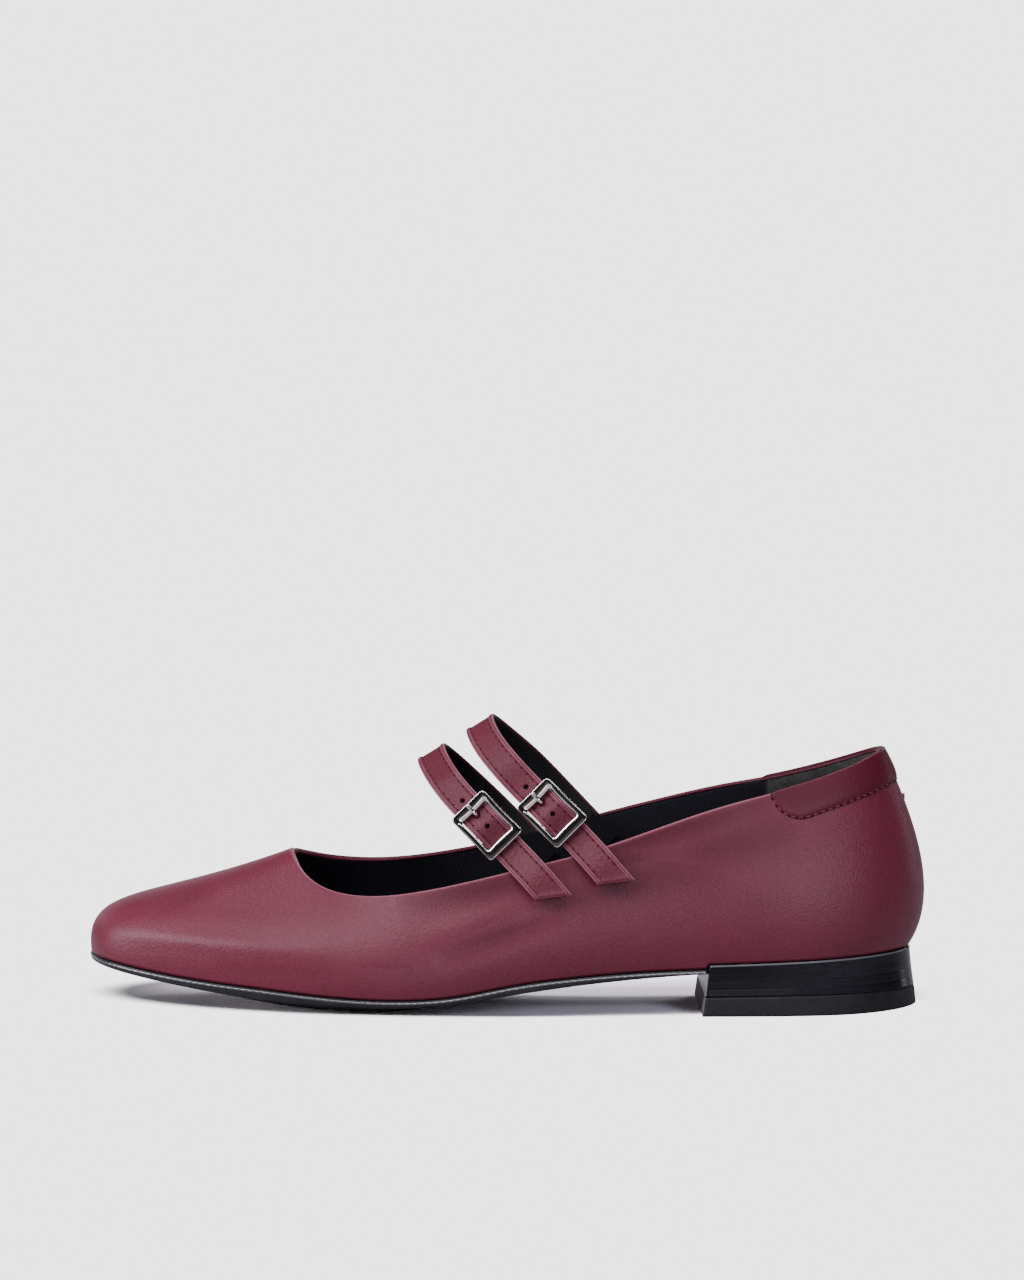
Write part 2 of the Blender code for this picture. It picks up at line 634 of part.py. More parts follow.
def make_insole(surface):
    """Footbed lying on the outsole inside the upper."""
    places = column_places()
    spine = spine_for(places, *INSOLE_SPINE_INSETS)
    inward = np.concatenate([spine, spine[1:-1][::-1]])
    edge = outline(places, np.full(len(places), -WALL - INSOLE_CLEARANCE))
    half_way = (edge + inward) / 2

    def level(flat, rise):
        return np.column_stack([flat, seat_height(flat[:, 0]) + INSOLE_BED + rise])

    top = INSOLE_THICKNESS
    loops = [level(half_way, top), level(edge, top), level(edge, 0.0), level(half_way, 0.0)]
    return plate("insole", np.array(loops), level(spine, top), level(spine, 0.0), surface)


def heel_places():
    first, last = place_at_x(HEEL_BREAST_X, False), place_at_x(HEEL_BREAST_X, True)
    columns = column_places()
    columns = columns[(columns > first + HEEL_COLUMN_GAP) & (columns < last - HEEL_COLUMN_GAP)]
    return np.concatenate([[first], columns, [last]])


def heel_loop(places, offset, heights, setback=0.0):
    """One level of the heel, larger towards the floor. The first and last points lie on its front."""
    ring = outline(places, np.full(len(places), offset))
    side = HEEL_RIM + GAP / 2
    front = ring[[0, -1]].copy()
    front[:, 1] -= np.sign(front[:, 1]) * (side - (HEEL_LIP - offset))
    ring = np.concatenate([front[:1], ring, front[1:]])
    ring[[0, 1, -2, -1], 0] = HEEL_BREAST_X
    ring[[0, -1], 0] += setback
    grow = 1.0 - heights / HEEL_TOP_Z
    x = HEEL_CENTRE_X + (ring[:, 0] - HEEL_CENTRE_X) * (1.0 + HEEL_FLARE_X * grow)
    y = ring[:, 1] * (1.0 + HEEL_FLARE_Y * grow)
    return np.column_stack([x, y, heights])


def stacked(name, loops, surface):
    """A solid of closed loops one above the other, capped across."""
    rings, points = loops.shape[:2]
    faces = ring_faces(rings, points, closed=False)
    faces += rung_faces(0, points)
    faces += rung_faces((rings - 1) * points, points)
    return new_object(name, loops.reshape(-1, 3), faces, surface)


def lift_line(x):
    return LIFT_LINE_FRONT + LIFT_LINE_SLOPE * (x - HEEL_BREAST_X)


def make_heel_block(surface):
    """The block under the heel seat, with a rim that hides the edge of the outsole there."""
    places = heel_places()
    x = heel_loop(places, HEEL_LIP, np.full(len(places) + 2, HEEL_TOP_Z))[:, 0]
    bevel_across, bevel_down = RIM_BEVEL
    seat = SOLE_CURVE(x)[:, 1] - SEAT_CLEARANCE
    rim = feather_height(x) - RIM_DROP
    rim[[0, -1]] = seat[[0, -1]]
    rim_edge = rim - bevel_down
    inside = HEEL_LIP - HEEL_RIM
    loops = [
        heel_loop(places, HEEL_LIP, lift_line(x) + GAP / 2),
        heel_loop(places, HEEL_LIP, rim_edge),
        heel_loop(places, HEEL_LIP - bevel_across, rim, RIM_DRAFT),
        heel_loop(places, inside + RIM_DRAFT, rim, 2 * RIM_DRAFT),
        heel_loop(places, inside, seat, 3 * RIM_DRAFT),
    ]
    return stacked("heel_block", np.array(loops), surface)


def make_heel_lift(surface):
    """Rubber top piece that the heel stands on, curved up at the rear."""
    places = heel_places()
    x = heel_loop(places, HEEL_LIP, np.zeros(len(places) + 2))[:, 0]
    top = lift_line(x) - GAP / 2
    rise = (x - LIFT_FLAT_END_X) / (LIFT_BACK_X - LIFT_FLAT_END_X)
    floor = LIFT_REAR_RISE * np.clip(rise, 0.0, None) ** 2
    loops = [
        heel_loop(places, HEEL_LIP - LIFT_EDGE_BEVEL, floor),
        heel_loop(places, HEEL_LIP, floor + LIFT_EDGE_BEVEL),
        heel_loop(places, HEEL_LIP, top),
    ]
    return stacked("heel_lift", np.array(loops), surface)


# Straps and buckles

LEAN = np.array([math.cos(math.radians(STRAP_LEAN)), 0.0, math.sin(math.radians(STRAP_LEAN))])
Frame = namedtuple("Frame", "centre along across outward")


class Ribbon:
    """A strap's middle surface: a smooth line with a width direction that leans to the heel."""

    def __init__(self, rows):
        points = np.array([row[1:] for row in rows], float)
        steps = np.linalg.norm(np.diff(points, axis=0), axis=1)
        self.knots = np.concatenate([[0.0], np.cumsum(steps)])
        self.length = self.knots[-1]
        self.curve = spline(self.knots, points)
        self.buckle = self.knots[[row.place for row in rows].index("buckle")]

    def frame(self, along):
        along = np.clip(np.atleast_1d(along), 0.0, self.length)
        low = np.clip(along - 0.3, 0.0, self.length)
        high = np.clip(along + 0.3, 0.0, self.length)
        tangent = unit(self.curve(high) - self.curve(low))
        across = unit(LEAN - tangent * (tangent @ LEAN)[:, None])
        return Frame(self.curve(along), tangent, across, np.cross(tangent, across))

    def buckle_frame(self):
        frame = self.frame(self.buckle)
        return Frame(*(part[0] for part in frame))


def in_frame(frame, along, across, outward):
    along, across, outward = np.broadcast_arrays(along, across, outward)
    spots = [v[..., None] for v in (along, across, outward)]
    return frame.centre + spots[0] * frame.along + spots[1] * frame.across + spots[2] * frame.outward


def strap_section(width, thickness, chamfer):
    """Corners of the strap's section: across and outward."""
    half, high = width / 2, thickness / 2
    return np.array(
        [
            (-half, -high + chamfer),
            (-half + chamfer, -high),
            (half - chamfer, -high),
            (half, -high + chamfer),
            (half, high - chamfer),
            (half - chamfer, high),
            (-half + chamfer, high),
            (-half, high - chamfer),
        ]
    )


def strap_height(ribbon, along):
    """How far the strap's middle lies out from its path: down under the frame, up over the bar."""
    away = np.abs(along - ribbon.buckle)
    wave = 0.5 + 0.5 * np.cos(np.pi * np.clip(away / STRAP_WAVE_SPAN, 0.0, 1.0))
    near = smooth_step((STRAP_DIP_REACH - away) / STRAP_DIP_RUN)
    return -STRAP_UNDER_FRAME * near + STRAP_OVER_BAR * wave


def make_strap(name, ribbon, surface):
    """A leather strap from inside the inner wall to its slanted tip, slotted for the prong."""
    count = int(ribbon.length / STRAP_STEP)
    section = strap_section(STRAP_WIDTH, STRAP_THICKNESS, STRAP_CHAMFER)
    loops = []
    for place in np.linspace(0.0, ribbon.length, count):
        turn = smooth_step((place - ribbon.length) / STRAP_TIP_RUN + 1.0)
        loop = []
        for across, outward in section:
            along = place + STRAP_TIP_SLANT * turn * across
            frame = ribbon.frame(min(along, ribbon.length))
            point = frame.centre + across * frame.across
            point = point + (outward + strap_height(ribbon, along)) * frame.outward
            loop.append((point + max(0.0, along - ribbon.length) * frame.along)[0])
        loops.append(loop)
    strap = tube(name, np.array(loops), surface)
    cut_slot(strap, ribbon.buckle_frame())
    return strap


def cut_slot(strap, frame):
    """Cuts the prong's slot through the strap."""
    corners = []
    for along in (-SLOT_LENGTH / 2, SLOT_LENGTH / 2):
        for across in (-SLOT_WIDTH / 2, SLOT_WIDTH / 2):
            for outward in SLOT_DEPTHS:
                corners.append(in_frame(frame, along + SLOT_CENTRE, across, outward))
    faces = [(0, 1, 3, 2), (4, 6, 7, 5), (0, 4, 5, 1), (2, 3, 7, 6), (0, 2, 6, 4), (1, 5, 7, 3)]
    cutter = new_object(strap.name + "_slot", np.array(corners), faces, strap.data.materials[0])
    cutter.hide_render = True
    cutter.display_type = "WIRE"
    cut = strap.modifiers.new("Slot", "BOOLEAN")
    cut.operation = "DIFFERENCE"
    cut.object = cutter


def rounded_rectangle(length, width, corner, steps):
    """Plan of a frame: points round a rectangle with round corners."""
    points = []
    for quarter in range(4):
        centre_a = (length / 2 - corner) * (1 if quarter in (0, 3) else -1)
        centre_w = (width / 2 - corner) * (1 if quarter in (0, 1) else -1)
        for step in range(steps + 1):
            angle = math.pi / 2 * (quarter + step / steps)
            points.append((centre_a + corner * math.cos(angle), centre_w + corner * math.sin(angle)))
    return np.array(points)


def make_buckle(name, frame, surface):
    """A rounded frame with a bevelled face and a centre bar set below it."""
    steps = 4
    outer = rounded_rectangle(BUCKLE_LENGTH, BUCKLE_WIDTH, BUCKLE_CORNER, steps)
    inner = rounded_rectangle(WINDOW_LENGTH, WINDOW_WIDTH, WINDOW_CORNER, steps)
    half = BUCKLE_THICKNESS / 2
    shares = [(0.0, -half), (0.0, half - BUCKLE_BEVEL)]
    shares += [(share, half) for share in BUCKLE_CREST]
    shares += [(1.0, half - WINDOW_BEVEL), (1.0, -half)]
    loops = []
    for edge, window in zip(outer, inner):
        loop = []
        for share, outward in shares:
            spot = edge + (window - edge) * share
            loop.append(in_frame(frame, spot[0], spot[1], outward))
        loops.append(loop)
    buckle = hoop(name, np.array(loops), surface)
    bar = make_centre_bar(name + "_bar", frame, surface)
    join = buckle.modifiers.new("Bar", "BOOLEAN")
    join.operation = "UNION"
    join.object = bar
    return buckle


def round_loop(centre, first, second, radius, sides=8):
    angles = np.arange(sides) * 2 * np.pi / sides
    return centre + radius * (np.cos(angles)[:, None] * first + np.sin(angles)[:, None] * second)


def swept(points, frame, radius, sides=8):
    """Round loops along a line in the buckle's frame: columns along, across, outward."""
    points = np.array(points, float)
    world = in_frame(frame, points[:, 0], points[:, 1], points[:, 2])
    tangent = unit(np.gradient(world, axis=0))
    flat = np.ptp(points[:, 1]) == 0.0
    side = frame.across if flat else frame.along
    loops = []
    for centre, ahead in zip(world, tangent):
        first = unit(side - ahead * (side @ ahead))
        loops.append(round_loop(centre, first, np.cross(ahead, first), radius, sides))
    return np.array(loops)


def make_centre_bar(name, frame, surface):
    """The bar under the strap: it leaves each side rail downwards and crosses below."""
    rail = (BUCKLE_WIDTH + WINDOW_WIDTH) / 4
    path = [(0.0, -rail, 0.0), (0.0, -rail, BAR_TURN - BAR_DEPTH)]
    for step in range(1, 4):
        angle = math.pi / 2 * step / 3
        across = -rail + BAR_TURN * (1.0 - math.cos(angle))
        path.append((0.0, across, -BAR_DEPTH + BAR_TURN * (1.0 - math.sin(angle))))
    path += [(a, -w, n) for a, w, n in reversed(path)]
    bar = tube(name, swept(path, frame, BAR_RADIUS), surface)
    bar.hide_render = True
    bar.display_type = "WIRE"
    return bar


def make_prong(name, frame, surface):
    """A round prong hooked under the centre bar."""
    turn = BAR_RADIUS + GAP + PRONG_RADIUS
    path = []
    for degrees in range(60, -181, -30):
        angle = math.radians(degrees)
        path.append((turn * math.cos(angle), 0.0, -BAR_DEPTH + turn * math.sin(angle)))
    lead = [(row.along, 0.0, row.height) for row in PRONG_REST]
    knots = np.arange(len(lead) + 1, dtype=float)
    curve = spline(knots, np.array([path[-1]] + lead))
    path += [tuple(p) for p in curve(np.linspace(0.4, knots[-1], 11))]
    return tube(name, swept(path, frame, PRONG_RADIUS), surface)


def make_anchor(name, rows, frame, surface):
    """Short leather tab looped round the centre bar and fixed inside the outer wall."""
    inner = BAR_RADIUS + GAP
    outer = inner + ANCHOR_LAYER
    line = spline(np.arange(len(rows), dtype=float), np.array(rows, float))
    spots = line(np.linspace(0.0, len(rows) - 1.0, 9))
    ahead = unit(np.gradient(spots, axis=0))
    side = np.column_stack([-ahead[:, 1], ahead[:, 0]])
    upper_edge = spots + side * ANCHOR_LAYER
    lower_edge = spots - side * ANCHOR_LAYER
    arc = [math.radians(angle) for angle in range(20, 321, 30)]
    ring = np.array([(outer * math.cos(a), outer * math.sin(a) - BAR_DEPTH) for a in arc])
    profile = np.concatenate([ring, lower_edge, upper_edge[::-1]])
    body = []
    for across in (-ANCHOR_WIDTH / 2, ANCHOR_WIDTH / 2):
        body.append(in_frame(frame, profile[:, 0], across, profile[:, 1]))
    anchor = tube(name, np.array(body), surface)
    eye = []
    for across in (-ANCHOR_WIDTH, ANCHOR_WIDTH):
        centre = in_frame(frame, 0.0, across, -BAR_DEPTH)
        eye.append(round_loop(centre, frame.along, frame.outward, inner, 12))
    (start, end), (low, high) = NOTCH_ALONG, NOTCH_DEPTHS
    notch = [(start, low), (start, high), (end, high), (end, low)]
    gap = []
    for across in (-ANCHOR_NOTCH / 2, ANCHOR_NOTCH / 2):
        gap.append([in_frame(frame, along, across, outward) for along, outward in notch])
    for label, loops in (("eye", np.array(eye)), ("notch", np.array(gap))):
        cutter = tube(f"{name}_{label}", loops, surface)
        cutter.hide_render = True
        cutter.display_type = "WIRE"
        cut = anchor.modifiers.new(label, "BOOLEAN")
        cut.operation = "DIFFERENCE"
        cut.object = cutter
    return anchor


def main():
    for obj in list(bpy.data.objects):
        bpy.data.objects.remove(obj, do_unlink=True)
    leather = material("Burgundy leather", BURGUNDY, 0.42)
    black = material("Black sole leather", BLACK, 0.38)
    heel = material("Polished black heel", BLACK, 0.25)
    rubber = material("Black rubber", BLACK, 0.6)
    lining = material("Black lining", LINING_BLACK, 0.85)
    nickel = material("Polished nickel", NICKEL, 0.12, 1.0)

    make_upper(leather)
    make_collar_patch(leather)
    make_outsole(black)
    make_insole(lining)
    make_heel_block(heel)
    make_heel_lift(rubber)
    for side, rows in STRAP_PATHS.items():
        ribbon = Ribbon(rows)
        frame = ribbon.buckle_frame()
        make_strap(f"strap_{side}", ribbon, leather)
        make_buckle(f"buckle_{side}", frame, nickel)
        make_prong(f"prong_{side}", frame, nickel)
        make_anchor(f"anchor_{side}", ANCHOR_PATHS[side], frame, leather)


main()
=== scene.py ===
"""Looks of the mary jane shoe: left foot, burgundy leather, two buckled instep straps, low heel.

The tables are in millimetres and repeat the solid model's: X runs from the toe (-X) to the heel
(+X), Y from the outer side (-Y) to the inner side (+Y), and Z up from the floor.
"""

import json
import math
from collections import namedtuple

import bmesh
import bpy
import numpy as np
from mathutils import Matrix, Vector

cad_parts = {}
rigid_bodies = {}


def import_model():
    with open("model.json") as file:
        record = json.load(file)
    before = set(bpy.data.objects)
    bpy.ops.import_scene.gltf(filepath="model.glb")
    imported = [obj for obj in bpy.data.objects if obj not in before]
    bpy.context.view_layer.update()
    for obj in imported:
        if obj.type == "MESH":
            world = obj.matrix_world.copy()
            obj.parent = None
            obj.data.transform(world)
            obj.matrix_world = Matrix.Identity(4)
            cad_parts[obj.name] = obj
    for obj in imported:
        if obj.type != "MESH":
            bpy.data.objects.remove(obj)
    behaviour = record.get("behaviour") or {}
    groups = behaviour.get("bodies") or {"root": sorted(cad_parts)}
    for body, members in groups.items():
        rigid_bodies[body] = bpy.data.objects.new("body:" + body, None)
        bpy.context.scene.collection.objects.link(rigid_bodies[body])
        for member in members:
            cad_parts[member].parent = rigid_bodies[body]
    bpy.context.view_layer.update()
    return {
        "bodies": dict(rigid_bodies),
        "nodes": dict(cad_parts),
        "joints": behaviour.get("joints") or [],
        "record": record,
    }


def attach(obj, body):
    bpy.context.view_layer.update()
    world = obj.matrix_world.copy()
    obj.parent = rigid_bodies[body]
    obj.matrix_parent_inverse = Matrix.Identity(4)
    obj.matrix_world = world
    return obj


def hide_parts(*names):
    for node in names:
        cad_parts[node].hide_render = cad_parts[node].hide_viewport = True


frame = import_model()

MM = 0.001
CENTRE_SHIFT = (0.25, 0.25, 0.0)

# The solid model's sizes
GAP = 0.3
WALL = 1.8
TOE_PROJECTION = 0.1
SOLE_PROJECTION = 0.7
SOLE_PROJECTION_RUN = 16.0
SOLE_EDGE_BEVEL = 0.5
TREAD_ROUND = 1.15
OUTSOLE_SPINE_INSETS = (13.0, 14.0)
INSOLE_SPINE_INSETS = (14.0, 16.0)
INSOLE_THICKNESS = 2.2
INSOLE_CLEARANCE = 0.5
INSOLE_BED = 0.4
HEEL_BREAST_X = 61.7
HEEL_STEP = 1.4
HEEL_STEP_X = (59.9, 60.9)
HEEL_RISE_X = (50.0, 72.0)
SEAT_RISE_X = (61.0, 75.0)
HEEL_LIP = 0.3
HEEL_RIM = 2.0
HEEL_SOLE_GAP = 1.25
RIM_DROP = 0.05
SEAT_CLEARANCE = 0.65
HEEL_CENTRE_X = 96.0
HEEL_FLARE_X = 0.078
HEEL_FLARE_Y = 0.012
HEEL_TOP_Z = 18.7
LIFT_LINE_FRONT = 5.9
LIFT_LINE_SLOPE = 0.012
LIFT_FLAT_END_X = 97.0
LIFT_REAR_RISE = 0.9
LIFT_BACK_X = 126.0
STRAP_WIDTH = 9.6
STRAP_THICKNESS = 1.5
STRAP_LEAN = 31.5
STRAP_TIP_SLANT = 0.66
STRAP_TIP_RUN = 14.0
BUCKLE_LENGTH = 17.8
BUCKLE_WIDTH = 13.4
WINDOW_LENGTH = 12.2
WINDOW_WIDTH = 10.3
WINDOW_CORNER = 0.9
BUCKLE_THICKNESS = 1.4
BAR_RADIUS = 0.5
BAR_DEPTH = 2.7
BAR_TURN = 0.9
STRAP_UNDER_FRAME = 1.98
STRAP_OVER_BAR = 1.9
STRAP_WAVE_SPAN = 7.0
STRAP_DIP_REACH = 24.0
STRAP_DIP_RUN = 12.0
PRONG_RADIUS = 0.45

# The looks' own sizes: the wall and its lining
SINK = 0.05  # how far a hidden face lies inside what it touches
STEP_FADE = 0.06  # share of the wall's height over which its lowest edge steps up at the heel
UPPER_COLUMNS = 576
UPPER_SHARES = 1.0 - (1.0 - np.linspace(0.0, 1.0, 66)) ** 1.15
TOPLINE_ANGLES = (25.0, 55.0, 90.0, 125.0, 155.0)
TOPLINE_RISE = 0.42
FOOT_FADE = 0.05  # shares of the wall's height over which creases fade out, at its foot and top
TOP_FADE = 0.03
FOLD_DEPTHS = (0.0, 0.15, 0.35)
UNDER_FOLD = 0.1
LEATHER_DEPTH = 1.0
INSIDE_SHARES = np.linspace(1.0, 0.0, 16)
LINING_TOP = 0.25
LINING_DEPTH = 1.6
LINING_SHARES = np.linspace(0.0, 1.0, 30)
LINING_HEIGHT = 50.0
LINING_CROWN = 0.2
TWILL_PITCH = 1.5
YARN_PITCH = 0.45
BACKING_PITCH = 0.9

Crease = namedtuple("Crease", "side start middle end width height dark")
CREASE_STEPS = 31
CREASE_REACH = 3.2  # widths from its line at which a crease has faded out
CREASE_TAPER = 0.6
FAR_RIM_DARK = 0.55  # painted shade on the topline's fold on the inner side, and on the patch's crest
CREST_RUN = 8.0  # painted shade darkens the patch's crest from this far before the back seam
# Soft troughs (height below 0) and ridges of the wall: points are x and z on one side. The dark column is
# painted shade along a trough; rows of height -0.03 hardly dent the wall and paint shade over broad regions,
# the last where the strap tails' shadow falls.
CREASES = [
    Crease("outer", (-108, 31), (-99, 35), (-90, 37), 2.0, -0.28, 0.12),
    Crease("outer", (-124, 25), (-92, 22.8), (-54, 20.5), 2.6, 0.52, 0.0),
    Crease("outer", (-90, 15), (-72, 14.3), (-46, 13.5), 2.8, -0.34, 0.05),
    Crease("outer", (-22, 18), (-4, 23), (16, 30.5), 2.8, -0.7, 0.22),
    Crease("outer", (-26, 24), (-10, 28), (6, 34), 3.4, 0.35, 0.0),
    Crease("outer", (-46, 17.2), (-42, 16.4), (-38, 15.6), 0.6, -0.12, 0.14),
    Crease("outer", (-41, 17.0), (-37.5, 16.1), (-34, 15.6), 0.6, -0.14, 0.14),
    Crease("outer", (-36, 16.8), (-32.5, 16.1), (-29, 15.8), 0.6, -0.12, 0.14),
    Crease("outer", (-2, 45), (36, 53), (80, 65), 5.0, -0.03, 0.55),
    Crease("outer", (-34, 34), (-10, 38), (22, 46), 4.0, -0.03, 0.55),
    Crease("outer", (48, 48), (68, 52), (88, 56), 6.0, -0.03, 0.34),
    Crease("outer", (8, 36), (40, 42), (66, 46), 6.0, -0.03, 0.34),
    Crease("outer", (8, 43), (28, 47), (48, 50), 4.0, -0.03, 0.42),
]

SeamRow = namedtuple("SeamRow", "top_x depth")
# The sewn line of the collar patch, from its front corner on the topline to the back seam.
PATCH_SEAM = [
    SeamRow(79.7, 0.4),
    SeamRow(80.1, 2.6),
    SeamRow(80.5, 4.6),
    SeamRow(81.6, 6.5),
    SeamRow(83.1, 8.2),
    SeamRow(85.5, 9.6),
    SeamRow(88.3, 9.8),
    SeamRow(94.3, 9.6),
    SeamRow(101.9, 9.5),
    SeamRow(108.9, 9.6),
    SeamRow(113.5, 9.6),
    SeamRow(115.7, 10.0),
]
# Collar patch, heel grip and their stitches
PATCH_CORNER_RUN = 9.0
PATCH_CORNER_COLUMNS = 36
PATCH_COLUMNS = 120
PATCH_ROWS = 26
PATCH_MARGIN = 0.35
PATCH_FRONT_LEAN = 1.0
PATCH_EDGE = 0.08
PATCH_FACE = 0.8
PATCH_LIP = 0.02
PATCH_SWELL = 1.1
PATCH_ROUND = 1.2
PATCH_PUFF = 0.25
PATCH_PUFF_RUN = 14.0
# Painted shade along the patch's sewn edge, and how far in it spreads.
PATCH_EDGE_DARK = 0.75
PATCH_EDGE_SPREAD = 0.5
PATCH_INSIDE = 0.45
PATCH_CREST = 0.8
PATCH_CREST_END = 0.4  # least share of the crest's height, at the patch's front corners
PATCH_INNER_DEPTHS = (0.0, 0.2)
GRIP_FRONT_X = 73.8
GRIP_NAP_X = 81.6
GRIP_NAP_FADE = 0.8
GRIP_DEPTHS = (0.0, 0.3, 0.9, 3.0, 6.0, 10.0, 15.0, 20.0, 26.0, 32.0, 38.0)
GRIP_COLUMNS = 120
GRIP_THICKNESS = 0.4
GRIP_SIDE_COLUMNS = 2  # its front edges thin out over these columns, and its top over this depth
GRIP_TOP_RUN = 0.5
GRIP_SINK = 0.25
STITCH_GAP = 0.13
STITCH_BOW = 0.8
STITCH_SINK = 0.45
# Share of the way along a stitch, and of its thickness there
STITCH_SHAPE = ((0.0, 0.35), (0.08, 0.8), (0.25, 1.0), (0.5, 1.0), (0.75, 1.0), (0.92, 0.8), (1.0, 0.35))
SEAM_LIFT = 0.25
COLLAR_PITCH = 2.45
COLLAR_THREAD = 0.25
COLLAR_PIT = (0.62, 0.36)
PIT_RINGS = ((1.0, -0.12), (0.92, 0.02), (0.55, 0.045), (0.12, 0.05))  # share of its size, and height
BARTACK_DEPTH = 16.0
BARTACK_TURNS = (-0.8, -0.3, 0.2, 0.7)
BARTACK_HALF = 0.9
BARTACK_SHIFT = 0.6
BARTACK_SINK = 0.2
BARTACK_BOW = 0.75
BARTACK_THREAD = 0.35

# Sole, footbed and heel
SOLE_COLUMNS = 560
SOLE_TOP_ROUND = 0.35
SOLE_EDGE_BELLY = -0.06
QUARTER_DOWN = (90.0, 60.0, 30.0, 0.0)  # steps round an edge, from its top down to its side
SOLE_TOP_SHARES = (0.98, 0.5)
SOLE_SIDE_SHARES = (0.25, 0.5, 0.75)
TREAD_SHARES = (0.05, 0.12, 0.22, 0.35, 0.5, 0.65, 0.8, 0.92, 0.98)
BEAD_STOP = 1.6
BEAD_STEP = 0.3
BEAD_INSET = 0.17
BEAD_RISE = -0.72
BEAD_RADIUS = 0.42
BEAD_NICK = 0.22
BEAD_PITCH = 2.2
INSOLE_COLUMNS = 280
INSOLE_SHARES = (0.98, 0.8, 0.6, 0.4, 0.2, 0.08)  # from the middle line out to the edge
INSOLE_CUP = 0.5
INSOLE_ROUND = 0.7
HEEL_COLUMNS = 190
JOINT_GAP = 0.08
BLOCK_FOOT_ROUND = 0.12
BLOCK_LEVELS = 40
LAYER_GROOVES = (0.24, 0.5, 0.76)
LAYER_GROOVE_WIDTH = 0.018
LAYER_GROOVE_DEPTH = 0.025
HEEL_WAIST = 0.12
RIM_ROLL = 0.75
RIM_ROLL_OUT = 0.3
RIM_ROLL_START = 0.6
SEAT_STEPS = ((HEEL_RIM - 0.1, 0.2), (HEEL_RIM, 0.3))  # inset and setback of the two top levels
RIM_TURNS = (-50.0, -10.0, 30.0, 60.0, 90.0)
LIFT_ROUND = 0.5
LIFT_TURNS = (90.0, 65.0, 40.0, 20.0, 0.0)
LIFT_SHARES = np.linspace(0.15, 0.9, 6)
LIFT_TOP_STEPS = ((0.08, 0.06), (0.3, 0.0))

# Straps: places across are distances from the middle line
STRAP_STEP = 0.55
STRAP_ACROSS = 41
EDGE_ROUND = 0.55
RIM_AT = 3.95
RIM_SPREAD = 0.75
# Painted highlights on the strap: on its turned edges, in a line along each rim and on its cut tip.
PALE_EDGE = 1.6
PALE_RIDGE = 0.7
PALE_AT = 3.8
TIP_PALE = 1.2
# Painted shade in a groove beside each rim.
GROOVE_AT = 4.2
GROOVE_SPREAD = 0.22
GROOVE_DARK = 0.45
RIM_STAND = 0.33
STRAP_SINK = 0.2
STITCH_AT = 3.05
CHANNEL_SPREAD = 0.3
CHANNEL_DEPTH = 0.12
STRAP_BASE = STRAP_THICKNESS / 2 - 0.15
STRAP_BASE_INSET = 0.7
STRAP_REACH = 0.3  # how far to each side the strap's direction is read
STRAP_EDGE_TURNS = (25.0, 50.0, 75.0, 100.0, 130.0)
BACKING_INSET = 0.55
BACKING_ACROSS = 13
BACKING_STAND = 0.02
TIP_ROUND = 1.0
TIP_THIN = 0.85
TIP_CUT = 0.5
STITCH_STAND = 0.02
STITCH_START = 4.0
STITCH_CLEAR = 1.0  # how far above the inner topline the first stitch shows
STRAP_STITCH_SINK = 0.12
TIP_STITCH = 2.0
STRAP_PITCH = 2.5
STRAP_THREAD = 0.17
STRAP_PIT = (0.55, 0.29)  # half length and half width of a needle hole
ROOT_SHOWN = 0.6
STITCH_SIDE_Y = 5.0  # beyond this y a strap can lie under the inner topline
HOLE_RINGS = ((0.0, -2.5), (0.0, 0.35), (0.12, 0.55), (0.4, 1.6))  # a punched hole's flare, and height
# Punched holes: distance from the middle of the buckle along the strap, and width.
PUNCHED = {
    "front": [(-12.1, 1.5), (-4.9, 2.0), (0.4, 1.5)],
    "rear": [(-12.1, 1.5), (-4.9, 2.0), (0.4, 1.5), (6.2, 1.5)],
}

# Buckles and prongs
BUCKLE_CORNER = 1.1
PRONG_TIP = (0.55, 0.85, 0.97, 1.0)  # shares of its thickness in the last loops at its tip
PRONG_SPREAD = 0.15
PRONG_WIDE = 34  # it thickens from this loop before its tip, over the next eight
PRONG_WIDE_RUN = 8.0
BUCKLE_ARC = 10
SIDE_STEPS = 16
WINDOW_BOW = 0.25
EDGE_EASE = 0.07  # rounding where the buckle's faces meet
BACK_EASE = 0.06
# Shares of half the frame's length or width at which its upper end bar and its rails begin
END_BAR_FROM = 0.7
END_BAR_RUN = 0.2
END_BAR_CRISP = 0.6
RAIL_FROM = 0.86
RAIL_RUN = 0.1
OUTER_BEVEL_ENDS = 0.14
OUTER_BEVEL_SIDES = 0.34
INNER_BEVEL_LOW = 0.42  # width of the bevel towards the window, and at the upper end
INNER_BEVEL_HIGH = 1.0
INNER_BEVEL_SPREAD = 0.45
TOP_BAR_FALL = 0.12
TOP_UNDERCUT = 0.5
INNER_DROP_LOW = 0.115
INNER_DROP_HIGH = 0.27

# Colours
Leather = namedtuple("Leather", "slot name deep bright pebble relief rough cloud swell shine")
